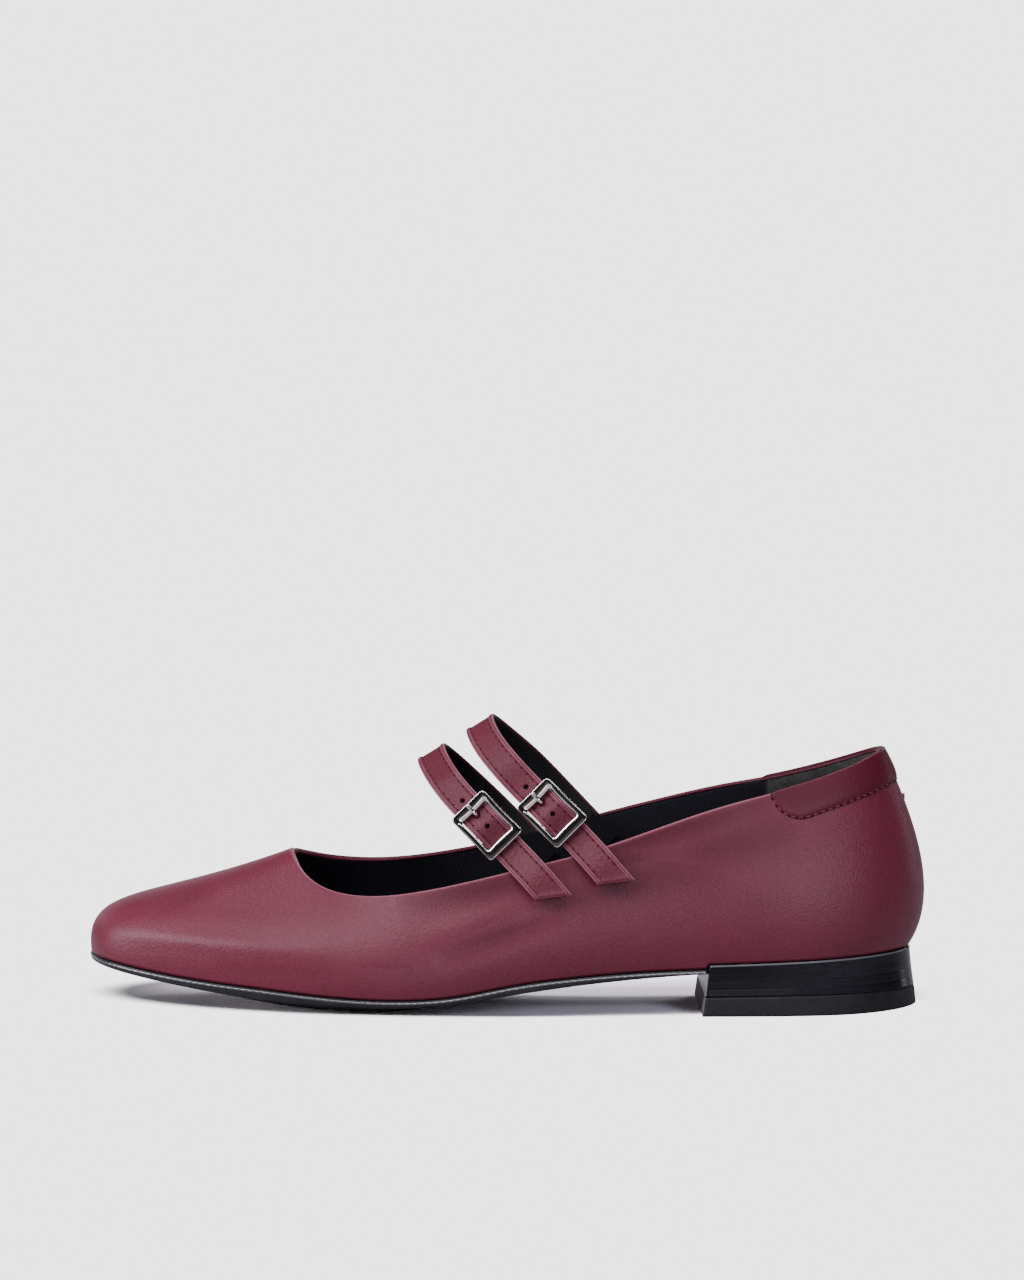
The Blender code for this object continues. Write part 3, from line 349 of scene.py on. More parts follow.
# Sizes in millimetres: of the pebbles and their relief, of the clouds of colour, and of broad swells.
LEATHERS = [
    Leather(
        "leather", "Burgundy leather", (0.100, 0.0104, 0.0226), (0.140, 0.0165, 0.0345),
        pebble=0.7, relief=0.07, rough=(0.38, 0.48), cloud=14.0, swell=0.025, shine=0.36,
    ),
    Leather(
        "strap", "Burgundy strap leather", (0.071, 0.0067, 0.0146), (0.111, 0.0125, 0.0264),
        pebble=0.7, relief=0.12, rough=(0.49, 0.53), cloud=15.0, swell=0.0, shine=0.29,
    ),
    Leather(
        "patch", "Burgundy collar leather", (0.070, 0.0064, 0.0150), (0.094, 0.0090, 0.0212),
        pebble=0.7, relief=0.045, rough=(0.38, 0.46), cloud=9.0, swell=0.01, shine=0.24,
    ),
]
SHINE_BELOW = 0.2  # share of a leather's shine that lies under its coat
SHINE_COAT = 1.6  # weight of the coat for a shine of 1, which fades where shade is painted
PAINTED_SHADE_TONE = 0.3  # tone of the painted shade as a share of the deep tone, and roughness that it adds
PAINTED_SHADE_DULL = 0.1
EDGE_HIGHLIGHT_SHARE = 0.4  # how much of the painted highlight an edge shows
# Colour of the painted highlight along leather edges.
EDGE_HIGHLIGHT = (0.42, 0.15, 0.20)
# Painted highlight along the heel's rolled rim.
HEEL_EDGE_HIGHLIGHT = (0.11, 0.11, 0.118)
# Painted reflection on the heel block's side.
HEEL_SHEEN = (0.0125, 0.0125, 0.0175)
# Painted light on the heel's front face, which lies in shade: tones far paler than its own, brightest towards
# the outer side as a painted reflection.
BREAST_TONES = ((0.20, 0.175, 0.17), (0.45, 0.43, 0.44))
BREAST_BRIGHT_Y = (-4.0, -20.0)
HEEL_SHEEN_FRONT = (74.0, 98.0)  # painted reflection makes the block paler between these x
HEEL_SHEEN_REAR = (118.0, 104.0)
# Dark and bright tone of each other surface
# The needle holes are low domes, dark with painted shade.
HOLE_TONES = ((0.007, 0.0014, 0.002), (0.020, 0.004, 0.006))
TWILL_TONES = ((0.0031, 0.0030, 0.0054), (0.0158, 0.0148, 0.0220))
FELT_TONES = ((0.014, 0.014, 0.013), (0.066, 0.065, 0.060))
GRIP_TAPE = (0.0045, 0.0042, 0.0055)
SOLE_TONES = ((0.0105, 0.0103, 0.0115), (0.0200, 0.0194, 0.0222))
BEAD_TONES = ((0.012, 0.012, 0.013), (0.085, 0.082, 0.085))
HEEL_TONES = ((0.0030, 0.0030, 0.0044), (0.0066, 0.0066, 0.0088))
HEEL_GRAIN = (0.0012, 0.0012, 0.0018)
RUBBER_TONES = ((0.0032, 0.0032, 0.0042), (0.011, 0.011, 0.0138))
METAL_TONES = ((0.80, 0.765, 0.71), (0.90, 0.87, 0.82))
BACKING_TONES = ((0.0022, 0.0019, 0.0026), (0.0095, 0.0082, 0.0108))
ROOT_TONES = ((0.0020, 0.0017, 0.0030), (0.0080, 0.0070, 0.0105))
SOCK_TONES = ((0.006, 0.0055, 0.007), (0.016, 0.015, 0.018))
BARTACK_TONES = ((0.14, 0.02, 0.018), (0.36, 0.06, 0.05))
Thread = namedtuple("Thread", "slot name deep bright")
THREADS = [
    Thread("thread", "Burgundy thread", (0.10, 0.012, 0.018), (0.24, 0.055, 0.07)),
    Thread("strap_thread", "Dark strap thread", (0.060, 0.006, 0.010), (0.120, 0.014, 0.024)),
]

# Studio, in metres and degrees
BACKDROP_TINT = (1.0, 1.0, 1.0, 1.0)
BACKDROP_SHOWN = 3.2
FRONT_DARK = (0.008, 0.008, 0.009)
BACK_BRIGHT = (0.95, 0.9, 1.0)
BACKDROP_FADE = (0.84, 1.0)
FRONT_FADE = (0.26, 0.34)
FRONT_LOW = (0.075, 0.072, 0.080)
FLOOR_REACH = 1.6
FLOOR_SIDES = 96
FLOOR_Z = -0.0001
FLOOR_CENTRE = (0.001, 0.030)
FLOOR_SPAN = (0.131, 0.0595)  # half axes of the part that shows, where the shadow lies
FLOOR_FADE = (0.92, 1.05)
FLOOR_BEND = (-0.130, -0.060, 0.0070, 0.0)  # its near edge draws back under the toe, between these x
FloorTone = namedtuple("FloorTone", "x tone arch")
# Painted shadow on the floor: how pale it is along the shoe, and how much it darkens under the shoe's middle
# line.
FLOOR_TONES = [
    FloorTone(-0.126, 0.05, 0.0),
    FloorTone(-0.114, 0.10, 0.0),
    FloorTone(-0.102, 0.26, 0.0),
    FloorTone(-0.088, 0.50, 0.0),
    FloorTone(-0.070, 1.0, 0.1),
    FloorTone(-0.056, 0.95, 0.4),
    FloorTone(-0.044, 0.6, 0.8),
    FloorTone(-0.012, 0.6, 1.0),
    FloorTone(0.012, 1.1, 1.0),
]
FLOOR_ARCH = (0.0, 0.02, 0.5, 0.0)  # painted shadow: share taken off at this distance from the middle line
FLOOR_ARCH_Y = 0.010
FLOOR_COLOUR = (2.24, 2.14, 2.24)
FLOOR_SEEN_BY_OBJECT = 0.17
SoftBox = namedtuple("SoftBox", "name azimuth elevation width height power colour")
SOFT_BOXES = [
    SoftBox("top_back_box", 180.0, 70.0, 1.0, 1.0, 16.0, (1.0, 0.97, 1.04)),
    SoftBox("top_front_box", 0.0, 65.0, 1.4, 1.0, 22.5, (1.0, 0.98, 1.03)),
    SoftBox("front_box", 0.0, 55.0, 2.0, 0.8, 11.0, (1.0, 0.98, 1.03)),
    SoftBox("left_box", -52.0, 36.0, 1.4, 1.2, 47.5, (1.0, 0.96, 1.07)),
    SoftBox("toe_box", -78.0, 20.0, 1.1, 1.1, 24.0, (1.0, 0.95, 1.08)),
    SoftBox("toe_top_box", -90.0, 45.0, 1.0, 0.8, 3.4, (1.0, 0.96, 1.06)),
    SoftBox("arch_card", -74.0, 6.0, 1.2, 0.4, 7.5, (1.0, 0.96, 1.0)),
    SoftBox("toe_back_box", -140.0, 20.0, 1.0, 1.0, 2.2, (1.0, 0.96, 1.06)),
    SoftBox("heel_back_box", 150.0, 30.0, 0.8, 0.8, 9.0, (1.0, 0.96, 1.06)),
    SoftBox("heel_strip", 118.0, 8.0, 0.5, 0.9, 3.0, (1.0, 0.96, 1.06)),
    SoftBox("heel_box", 23.0, 14.0, 0.6, 0.6, 14.5, (0.92, 0.95, 1.18)),
    SoftBox("low_card", 6.0, 4.0, 1.0, 0.4, 2.4, (1.0, 0.93, 0.86)),
]
LIGHT_DISTANCE = 2.4
LIGHT_TARGET = (0.0, 0.0, 0.03)
CAMERA_LENS = 117.84
CAMERA_SENSOR = 36.0
CAMERA_PLACE = (0.001646, -1.28925, 0.1652)
CAMERA_DOWN = 2.327

Rib = namedtuple("Rib", "foot_x foot_y top_x top_y top_z low_out low_up high_back high_out high_up")
# From the toe along the outer side to the heel, then along the inner side back to the toe.
# low_out and low_up place the rib's lower handle from its foot, outwards and up. high_back places
# the upper handle from its top as a share of the way to its foot, high_out and high_up from there.
RIBS = [
    Rib(-128.7, 3.5, -66.7, 2.5, 48.5, 2.4, 20.0, 0.72, 0.0, 5.9),
    Rib(-127.2, -7.0, -66.5, -1.5, 48.4, 2.4, 19.6, 0.72, 0.0, 5.9),
    Rib(-122.0, -16.5, -66.0, -5.0, 47.8, 2.4, 18.3, 0.70, 0.2, 6.2),
    Rib(-111.5, -24.0, -65.2, -8.6, 46.7, 2.4, 17.0, 0.66, 0.6, 7.0),
    Rib(-96.0, -30.2, -64.0, -12.2, 44.8, 2.6, 15.5, 0.60, 1.0, 7.0),
    Rib(-76.0, -35.4, -61.0, -17.0, 41.5, 2.8, 14.5, 0.52, 1.6, 6.0),
    Rib(-56.0, -38.0, -53.5, -22.8, 37.7, 3.0, 13.0, 0.42, 2.4, 3.6),
    Rib(-36.0, -38.4, -40.0, -27.4, 36.3, 3.0, 12.0, 0.32, 2.4, 0.8),
    Rib(-16.0, -36.6, -21.0, -29.6, 38.8, 3.2, 12.0, 0.30, 2.2, 0.0),
    Rib(6.0, -33.8, 4.0, -30.0, 44.6, 3.8, 12.0, 0.30, 1.8, 0.0),
    Rib(30.0, -31.2, 27.0, -29.0, 50.5, 4.2, 12.0, 0.30, 1.8, 0.0),
    Rib(54.0, -29.3, 50.0, -27.3, 58.3, 4.4, 13.0, 0.30, 2.0, 0.0),
    Rib(80.0, -28.4, 70.0, -25.2, 64.5, 4.8, 14.0, 0.30, 2.4, 0.0),
    Rib(101.0, -25.0, 87.0, -21.2, 68.8, 6.0, 15.0, 0.30, 3.4, 0.0),
    Rib(115.0, -17.3, 104.6, -15.9, 74.5, 8.4, 16.0, 0.30, 4.6, 0.0),
    Rib(121.8, -8.2, 113.9, -8.2, 78.5, 10.6, 16.6, 0.29, 5.4, 0.0),
    Rib(123.8, 0.0, 115.7, 0.0, 79.3, 11.4, 16.8, 0.29, 5.7, 0.0),
    Rib(121.8, 8.2, 113.9, 8.2, 78.7, 10.6, 16.6, 0.29, 5.4, 0.0),
    Rib(115.0, 17.3, 104.6, 15.9, 75.3, 8.4, 16.0, 0.30, 4.6, 0.0),
    Rib(101.0, 25.0, 87.0, 21.2, 70.3, 6.0, 15.0, 0.30, 3.2, 0.0),
    Rib(80.0, 27.6, 70.0, 24.8, 66.8, 4.8, 14.0, 0.30, 2.4, 0.0),
    Rib(54.0, 26.4, 50.0, 25.9, 62.3, 4.6, 13.0, 0.30, 1.8, 0.0),
    Rib(30.0, 24.8, 27.0, 26.4, 56.3, 4.8, 13.0, 0.30, 1.8, 0.0),
    Rib(6.0, 26.4, 4.0, 26.8, 49.9, 4.6, 13.0, 0.30, 1.8, 0.0),
    Rib(-16.0, 31.5, -21.0, 26.8, 45.0, 4.2, 13.0, 0.30, 2.2, 0.0),
    Rib(-36.0, 36.0, -40.0, 25.0, 43.4, 3.6, 13.0, 0.34, 2.4, 1.2),
    Rib(-56.0, 38.0, -54.0, 21.6, 44.4, 3.2, 13.5, 0.42, 2.4, 4.0),
    Rib(-76.0, 37.2, -61.0, 17.2, 46.0, 2.8, 14.5, 0.52, 1.6, 6.0),
    Rib(-96.0, 33.2, -64.6, 13.0, 47.2, 2.6, 15.5, 0.60, 1.0, 7.0),
    Rib(-111.5, 28.0, -65.9, 10.2, 47.7, 2.4, 17.0, 0.66, 0.6, 7.0),
    Rib(-122.0, 21.5, -66.3, 7.8, 47.8, 2.4, 18.3, 0.70, 0.2, 6.2),
    Rib(-127.2, 13.5, -66.6, 5.2, 48.2, 2.4, 19.6, 0.72, 0.0, 5.9),
]

SoleLine = namedtuple("SoleLine", "x feather edge keel")
# Heights along the shoe: the feather line, the outsole's lower edge and its underside in the
# middle. Where keel is below the floor the tread is cut flat by it.
SOLE_LINE = [
    SoleLine(-129.0, 16.9, 14.9, 14.2),
    SoleLine(-115.0, 14.4, 12.2, 10.6),
    SoleLine(-95.0, 11.4, 8.8, 5.8),
    SoleLine(-75.0, 9.2, 6.1, 0.6),
    SoleLine(-55.0, 7.0, 4.6, -2.2),
    SoleLine(-32.0, 5.8, 3.8, -2.2),
    SoleLine(-16.0, 6.7, 4.6, 1.4),
    SoleLine(0.0, 9.5, 6.9, 5.4),
    SoleLine(20.0, 12.0, 9.6, 8.8),
    SoleLine(45.0, 13.7, 12.0, 11.6),
    SoleLine(61.0, 14.2, 13.0, 12.9),
    SoleLine(85.0, 15.0, 14.0, 14.0),
    SoleLine(107.0, 16.1, 15.1, 15.1),
    SoleLine(128.0, 17.6, 16.6, 16.6),
]

PathRow = namedtuple("PathRow", "place x y z")
# The middle line of each strap, from its hidden end inside the inner wall, over the instep, through
# the buckle and down to its tip on the outer wall.
STRAP_PATHS = {
    "front": [
        PathRow("hidden end", 13.2, 21.2, 41.0),
        PathRow("inner topline", 6.6, 22.2, 48.2),
        PathRow("inner side", -3.8, 22.2, 59.0),
        PathRow("inner side", -12.8, 17.2, 68.0),
        PathRow("inner shoulder", -19.2, 11.0, 74.3),
        PathRow("instep", -23.3, 1.5, 77.9),
        PathRow("outer shoulder", -20.8, -11.0, 73.1),
        PathRow("outer side", -16.7, -19.5, 68.3),
        PathRow("above buckle", -12.0, -24.6, 63.6),
        PathRow("buckle", -6.2, -27.4, 57.8),
        PathRow("below buckle", -0.2, -30.0, 51.8),
        PathRow("outer topline", 4.8, -32.6, 46.8),
        PathRow("tail", 9.5, -34.5, 41.9),
        PathRow("tip", 13.9, -36.0, 36.9),
    ],
    "rear": [
        PathRow("hidden end", 32.6, 21.6, 46.4),
        PathRow("inner topline", 26.0, 22.6, 53.4),
        PathRow("inner side", 16.0, 22.8, 64.0),
        PathRow("inner side", 5.8, 18.8, 74.6),
        PathRow("inner shoulder", -3.0, 12.0, 82.6),
        PathRow("instep", -8.2, 1.5, 87.0),
        PathRow("outer shoulder", -6.6, -10.0, 82.9),
        PathRow("outer side", -0.4, -19.6, 75.4),
        PathRow("above buckle", 7.4, -25.3, 67.6),
        PathRow("buckle", 13.5, -27.9, 61.6),
        PathRow("below buckle", 19.6, -30.2, 55.7),
        PathRow("outer topline", 24.2, -32.3, 51.0),
        PathRow("tail", 28.8, -33.7, 45.9),
        PathRow("tip", 32.8, -34.8, 41.3),
    ],
}

ProngRow = namedtuple("ProngRow", "along height")
# The prong's middle line in the buckle's plane: hooked round the centre bar, up through the slot in
# the strap and over the end bar.
PRONG_REST = [
    ProngRow(-2.8, -3.3),
    ProngRow(-3.9, -2.4),
    ProngRow(-4.4, -1.0),
    ProngRow(-4.75, 0.5),
    ProngRow(-5.6, 1.2),
    ProngRow(-7.1, 1.4),
    ProngRow(-8.7, 1.47),
]

# Curves and small sums


def spline(knots, values, period=None):
    """A smooth cubic curve through the values at the knots, closed where it has a period."""
    knots = np.asarray(knots, float)
    values = np.asarray(values, float)
    count = len(knots)
    step = np.append(knots[1:], knots[-1] + 1.0 if period is None else knots[0] + period) - knots
    slope = (np.roll(values, -1, axis=0) - values) / step[:, None]
    system = np.eye(count)
    right = np.zeros_like(values)
    for i in range(count) if period else range(1, count - 1):
        system[i, i] = 2.0 * (step[i - 1] + step[i])
        system[i, i - 1] += step[i - 1]
        system[i, (i + 1) % count] += step[i]
        right[i] = 6.0 * (slope[i] - slope[i - 1])
    bend = np.linalg.solve(system, right)

    def at(places):
        places = np.atleast_1d(np.asarray(places, float))
        if period:
            places = knots[0] + (places - knots[0]) % period
        i = np.clip(np.searchsorted(knots, places, side="right") - 1, 0, count - 1 if period else count - 2)
        j = (i + 1) % count
        h = step[i][:, None]
        a = (places - knots[i])[:, None]
        b = h - a
        curve = (bend[i] * b**3 + bend[j] * a**3) / (6.0 * h)
        return curve + (values[i] / h - bend[i] * h / 6.0) * b + (values[j] / h - bend[j] * h / 6.0) * a

    return at


def unit(vectors):
    """The vectors, each at length 1."""
    return vectors / np.linalg.norm(vectors, axis=-1, keepdims=True)


def smooth_step(places):
    """0 up to 0, 1 from 1 on, and a soft rise between."""
    k = np.clip(places, 0.0, 1.0)
    return k * k * (3.0 - 2.0 * k)


def bell(distance, spread):
    """1 on a line, fading within about spread of it."""
    return np.exp(-((distance / spread) ** 2))


def run_along(points):
    """Distance along a polyline at each of its points."""
    return np.append(0.0, np.cumsum(np.linalg.norm(np.diff(points, axis=0), axis=1)))


# The shoe's surface

RIB_ROWS = np.array(RIBS)
RIB_RUN = run_along(np.vstack([RIB_ROWS, RIB_ROWS[:1]])[:, :2])
PERIMETER = RIB_RUN[-1]
RIB_CURVE = spline(RIB_RUN[:-1], RIB_ROWS, PERIMETER)
UP = np.array([0.0, 0.0, 1.0])
SOLE_ROWS = np.array(SOLE_LINE)
SOLE_CURVE = spline(SOLE_ROWS[:, 0], SOLE_ROWS[:, 1:])
HALF = len(RIBS) // 2
HEEL_PLACE = RIB_RUN[HALF]


def rib_at(places):
    """The ribs' columns at the places, each under its own name."""
    return Rib(*RIB_CURVE(places).T)


def sole_line(x):
    """The sole's heights at x, each under its own name."""
    return SoleLine(x, *SOLE_CURVE(x).T)


def feather_height(x, run=HEEL_STEP_X):
    """Height of the feather line, with its rise on to the heel between two places along the shoe."""
    start, end = run
    return sole_line(x).feather + HEEL_STEP * smooth_step((x - start) / (end - start))


def seat_height(x):
    """Top of the outsole."""
    return feather_height(x, SEAT_RISE_X)


def foot_line(places, reach=0.2):
    """Feather line in plan and its outward direction, found from the points reach before and after."""
    places = np.asarray(places, float)
    ahead = unit(RIB_CURVE(places + reach)[:, :2] - RIB_CURVE(places - reach)[:, :2])
    return RIB_CURVE(places)[:, :2], np.column_stack([ahead[:, 1], -ahead[:, 0]])


def rib_points(places, heights):
    """Outer surface: one row of points for each place round the shoe, from sole to topline."""
    row = Rib(*RIB_CURVE(places).T[:, :, None])
    flat, outward = foot_line(places)
    foot = np.column_stack([flat, feather_height(flat[:, 0], HEEL_RISE_X) + GAP])
    top = np.hstack([row.top_x, row.top_y, row.top_z])
    out = np.column_stack([outward, np.zeros(len(flat))])
    low = foot + out * row.low_out + UP * row.low_up
    high = top + (foot - top) * row.high_back + out * row.high_out + UP * row.high_up
    s = np.atleast_2d(heights)[:, :, None]
    r = 1.0 - s
    foot, low, high, top = (p[:, None, :] for p in (foot, low, high, top))
    return r**3 * foot + 3 * r**2 * s * low + 3 * r * s**2 * high + s**3 * top


def rib_normals(places, heights, reach=0.4, rise=0.01):
    """Outward direction of the surface at the same points, from the points just round them."""
    places = np.asarray(places, float)
    heights = np.asarray(heights, float)
    across = rib_points(places + reach, heights) - rib_points(places - reach, heights)
    above = rib_points(places, np.minimum(heights + rise, 1.0))
    below = rib_points(places, np.maximum(heights - rise, 0.0))
    return unit(np.cross(across, above - below))


def place_at(x, inner, line):
    """Place where that line of the ribs, foot_x or top_x, passes x on the outer or the inner side."""
    start, end = (HEEL_PLACE, PERIMETER) if inner else (0.0, HEEL_PLACE)
    places = np.linspace(start, end, 2000)
    along = getattr(rib_at(places), line)
    toward = -1.0 if inner else 1.0
    return float(np.interp(toward * x, toward * along, places))


def both_sides(x, line="foot_x"):
    """Places where the line passes x, on the outer and then the inner side."""
    return place_at(x, False, line), place_at(x, True, line)


def row_for_each(places, values):
    """The values, as one row for each place."""
    values = np.atleast_2d(values)
    return np.broadcast_to(values, (len(places), values.shape[1]))


def shares_below(places, depths):
    """Shares of each rib's height that lie depths below the topline, measured along the rib."""
    shares = np.linspace(0.0, 1.0, 161)
    points = rib_points(places, shares)
    steps = np.linalg.norm(np.diff(points, axis=1), axis=2)
    down = np.concatenate([np.cumsum(steps[:, ::-1], axis=1)[:, ::-1], np.zeros((len(points), 1))], axis=1)
    return np.array([np.interp(-want, -row, shares) for want, row in zip(row_for_each(places, depths), down)])


def sheet(places, heights, depth):
    """The surface moved inwards by depth, a number or one for each point."""
    heights = row_for_each(places, heights)
    depth = np.broadcast_to(np.asarray(depth, float), heights.shape)
    return rib_points(places, heights) - rib_normals(places, heights) * depth[..., None]


def settle_on_sole(points, heights, places):
    """Lets the lowest edge step up on to the heel's rim, faded out a little way up the wall."""
    x = rib_at(places).foot_x
    miss = feather_height(x) - feather_height(x, HEEL_RISE_X)
    points[:, :, 2] += miss[:, None] * np.clip(1.0 - np.atleast_2d(heights) / STEP_FADE, 0.0, 1.0)
    return points


# Meshes


def place_new(name, data):
    """A new object in the scene."""
    made = bpy.data.objects.new(name, data)
    bpy.context.scene.collection.objects.link(made)
    return made


def finish_object(mesh, surface, replaces=()):
    """Makes the mesh a piece of its own name."""
    mesh.shade_smooth()
    mesh.materials.append(surface)
    obj = place_new(mesh.name, mesh)
    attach(obj, "root")
    if replaces:
        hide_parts(*replaces)
    return obj


def facing_out(mesh):
    """Turns the faces of a closed mesh outwards."""
    work = bmesh.new()
    work.from_mesh(mesh)
    bmesh.ops.recalc_face_normals(work, faces=work.faces)
    if work.calc_volume(signed=True) < 0.0:
        bmesh.ops.reverse_faces(work, faces=work.faces)
    work.to_mesh(mesh)
    work.free()


def mesh_of(name, vertices, faces, uv=None):
    """A closed mesh from points in millimetres; uv holds one pair for each face corner."""
    mesh = bpy.data.meshes.new(name)
    mesh.from_pydata(((vertices + np.array(CENTRE_SHIFT)) * MM).tolist(), [], faces)
    if uv is not None:
        mesh.uv_layers.new(name="flat").data.foreach_set("uv", uv.astype(np.float32).ravel())
    facing_out(mesh)
    return mesh


def grid_faces(rows, columns, around=False, capped=True):
    """Faces of a grid of closed loops, and the row and column of each face's corners."""
    i, k = np.indices((rows if around else rows - 1, columns)).reshape(2, -1)
    row = np.stack([i, i + 1, i + 1, i], axis=1)
    column = np.stack([k, k, k + 1, k + 1], axis=1)
    faces = ((row % rows) * columns + column % columns).tolist()
    row, column = row.ravel(), column.ravel()
    if capped and not around:
        loop = np.arange(columns)
        faces += [loop.tolist(), (loop + (rows - 1) * columns).tolist()]
        row = np.append(row, np.repeat([0, rows - 1], columns))
        column = np.append(column, np.tile(loop, 2))
    return faces, row, column


def grid(name, points, around=False, u=None, v=None):
    """A solid from a grid of points: each row is a closed loop, and the rows may close too.

    u and v are flat places for the rows and columns, with one more for each that closes.
    """
    faces, row, column = grid_faces(*points.shape[:2], around)
    uv = None if u is None else np.column_stack([u[row], v[column]])
    return mesh_of(name, points.reshape(-1, 3), faces, uv)


def swept_tube(path, radius, sides):
    """Round loops along a path of points, turned as little as they can be."""
    ahead = unit(np.gradient(path, axis=0))
    side = unit(np.cross(ahead[0], [0.3, 0.2, 1.0]))
    angles = (np.arange(sides) * 2 * np.pi / sides)[:, None]
    loops = []
    for centre, tangent, reach in zip(path, ahead, np.broadcast_to(radius, len(path))):
        side = unit(side - tangent * (side @ tangent))
        loops.append(centre + reach * (np.cos(angles) * side + np.sin(angles) * np.cross(tangent, side)))
    return np.array(loops)


def join_meshes(name, parts):
    """One mesh from several tubes, each a grid of closed loops."""
    faces, start = [], 0
    for points in parts:
        rows, columns = points.shape[:2]
        faces += [[corner + start for corner in face] for face in grid_faces(rows, columns)[0]]
        start += rows * columns
    return mesh_of(name, np.concatenate([points.reshape(-1, 3) for points in parts]), faces)


def capsule(start, end, radius, lift, sides=8):
    """A stitch: a short thread between two points, bowed outwards by lift, with sunk ends."""
    steps, shares = np.array(STITCH_SHAPE).T
    bow = np.sin(np.pi * steps) - STITCH_SINK
    path = start + (end - start) * steps[:, None] + lift * bow[:, None]
    return swept_tube(path, radius * shares, sides)


# Materials


class Nodes:
    """A node tree and short ways to add to it; values are numbers, colours or nodes' outputs."""

    def __init__(self, owner):
        owner.use_nodes = True
        self.tree = owner.node_tree

    def feed(self, socket, value):
        """Links the socket where the value is a node's output, and else sets it."""
        if isinstance(value, bpy.types.NodeSocket):
            self.tree.links.new(value, socket)
        else:
            socket.default_value = value

    def node(self, kind, inputs=None, output=0, **settings):
        """Adds a node and gives back one of its outputs."""
        made = self.tree.nodes.new(kind)
        for label, value in settings.items():
            setattr(made, label, value)
        for label, value in (inputs or {}).items():
            self.feed(made.inputs[label], value)
        return made.outputs[output]

    def replace_all(self, kind, make_shader):
        """Clears the tree and ends it in the shader made."""
        self.tree.nodes.clear()
        end = self.tree.nodes.new(kind)
        self.feed(end.inputs[0], make_shader(self))

    def object_spot(self):
        return self.node("ShaderNodeTexCoord", output="Object")

    def separate(self, vector):
        made = self.tree.nodes.new("ShaderNodeSeparateXYZ")
        self.feed(made.inputs[0], vector)
        return tuple(made.outputs)

    def sums(self, operation, first, second=0.0, third=0.0):
        return self.node("ShaderNodeMath", {0: first, 1: second, 2: third}, operation=operation)

    def times(self, first, second):
        return self.sums("MULTIPLY", first, second)

    def vector(self, operation, first, second=(0.0, 0.0, 0.0)):
        return self.node("ShaderNodeVectorMath", {0: first, 1: second}, operation=operation)

    def scaled(self, vector, scale):
        return self.node("ShaderNodeVectorMath", {0: vector, "Scale": scale}, operation="SCALE")

    def ramp(self, value, low, high, to_low=0.0, to_high=1.0, kind="LINEAR"):
        wanted = {"Value": value, "From Min": low, "From Max": high, "To Min": to_low, "To Max": to_high}
        return self.node("ShaderNodeMapRange", wanted, clamp=True, interpolation_type=kind)

    def mix(self, share, first, second):
        """Colour that is first where share is 0 and second where it is 1."""
        inputs = {0: share}
        for place, colour in ((6, first), (7, second)):
            inputs[place] = colour if isinstance(colour, bpy.types.NodeSocket) else (*colour, 1.0)
        return self.node("ShaderNodeMix", inputs, 2, data_type="RGBA")

    def mix_shader(self, share, first, second):
        return self.node("ShaderNodeMixShader", {0: share, 1: first, 2: second})

    def camera_share(self):
        """1 for what the camera sees straight, and 0 for what is lit or mirrored."""
        return self.node("ShaderNodeLightPath", output="Is Camera Ray")


class Finish(Nodes):
    """One procedural material: its nodes read the object's own coordinates in millimetres."""

    def __init__(self, name, **sockets):
        self.material = bpy.data.materials.new(name)
        super().__init__(self.material)
        self.shader = self.tree.nodes["Principled BSDF"]
        self.spot = self.scaled(self.object_spot(), 1.0 / MM)
        self.use(**sockets)

    def use(self, **sockets):
        """Feeds the shader; each name is a socket's, with _ for a space."""
        for label, value in sockets.items():
            self.feed(self.shader.inputs[label.replace("_", " ")], value)
        return self.material

    def flat_spot(self):
        return self.separate(self.node("ShaderNodeUVMap", uv_map="flat"))[:2]

    def shade(self, label):
        """Value that set_shade gave the mesh."""
        return self.node("ShaderNodeAttribute", output=2, attribute_name=label)

    def noise(self, size, detail=2.0, roughness=0.5, spot=None):
        """Soft noise whose patches are about size millimetres across."""
        wanted = {"Vector": spot or self.spot, "Scale": 1.0 / size, "Detail": detail, "Roughness": roughness}
        return self.node("ShaderNodeTexNoise", wanted)

    def cells(self, size, smooth):
        """Rounded cells about size millimetres across."""
        wanted = {"Vector": self.spot, "Scale": 1.0 / size, "Smoothness": smooth}
        return self.node("ShaderNodeTexVoronoi", wanted, feature="SMOOTH_F1")

    def stretched(self, x_share, y_share):
        """The object's coordinates with x and y scaled down, which draws a noise out along them."""
        x, y, z = self.separate(self.spot)
        return self.node("ShaderNodeCombineXYZ", {0: self.times(x, x_share), 1: self.times(y, y_share), 2: z})

    def spread(self, noise, to_low=0.0, to_high=1.0):
        """A noise's usual range drawn out between two values."""
        return self.ramp(noise, 0.3, 0.7, to_low, to_high)

    def blend(self, share, first, second):
        """The share of the first value and the rest of the second."""
        return self.sums("MULTIPLY_ADD", first, share, self.times(second, 1.0 - share))

    def ribs(self, along, pitch):
        """Waves between -1 and 1, pitch millimetres apart."""
        return self.sums("SINE", self.times(along, 2 * math.pi / pitch))

    def bumped(self, height, distance, under=None):
        """Normal of a relief whose height of 1 stands distance millimetres out."""
        wanted = {"Height": height, "Distance": distance * MM, "Strength": 1.0}
        if under is not None:
            wanted["Normal"] = under
        return self.node("ShaderNodeBump", wanted)


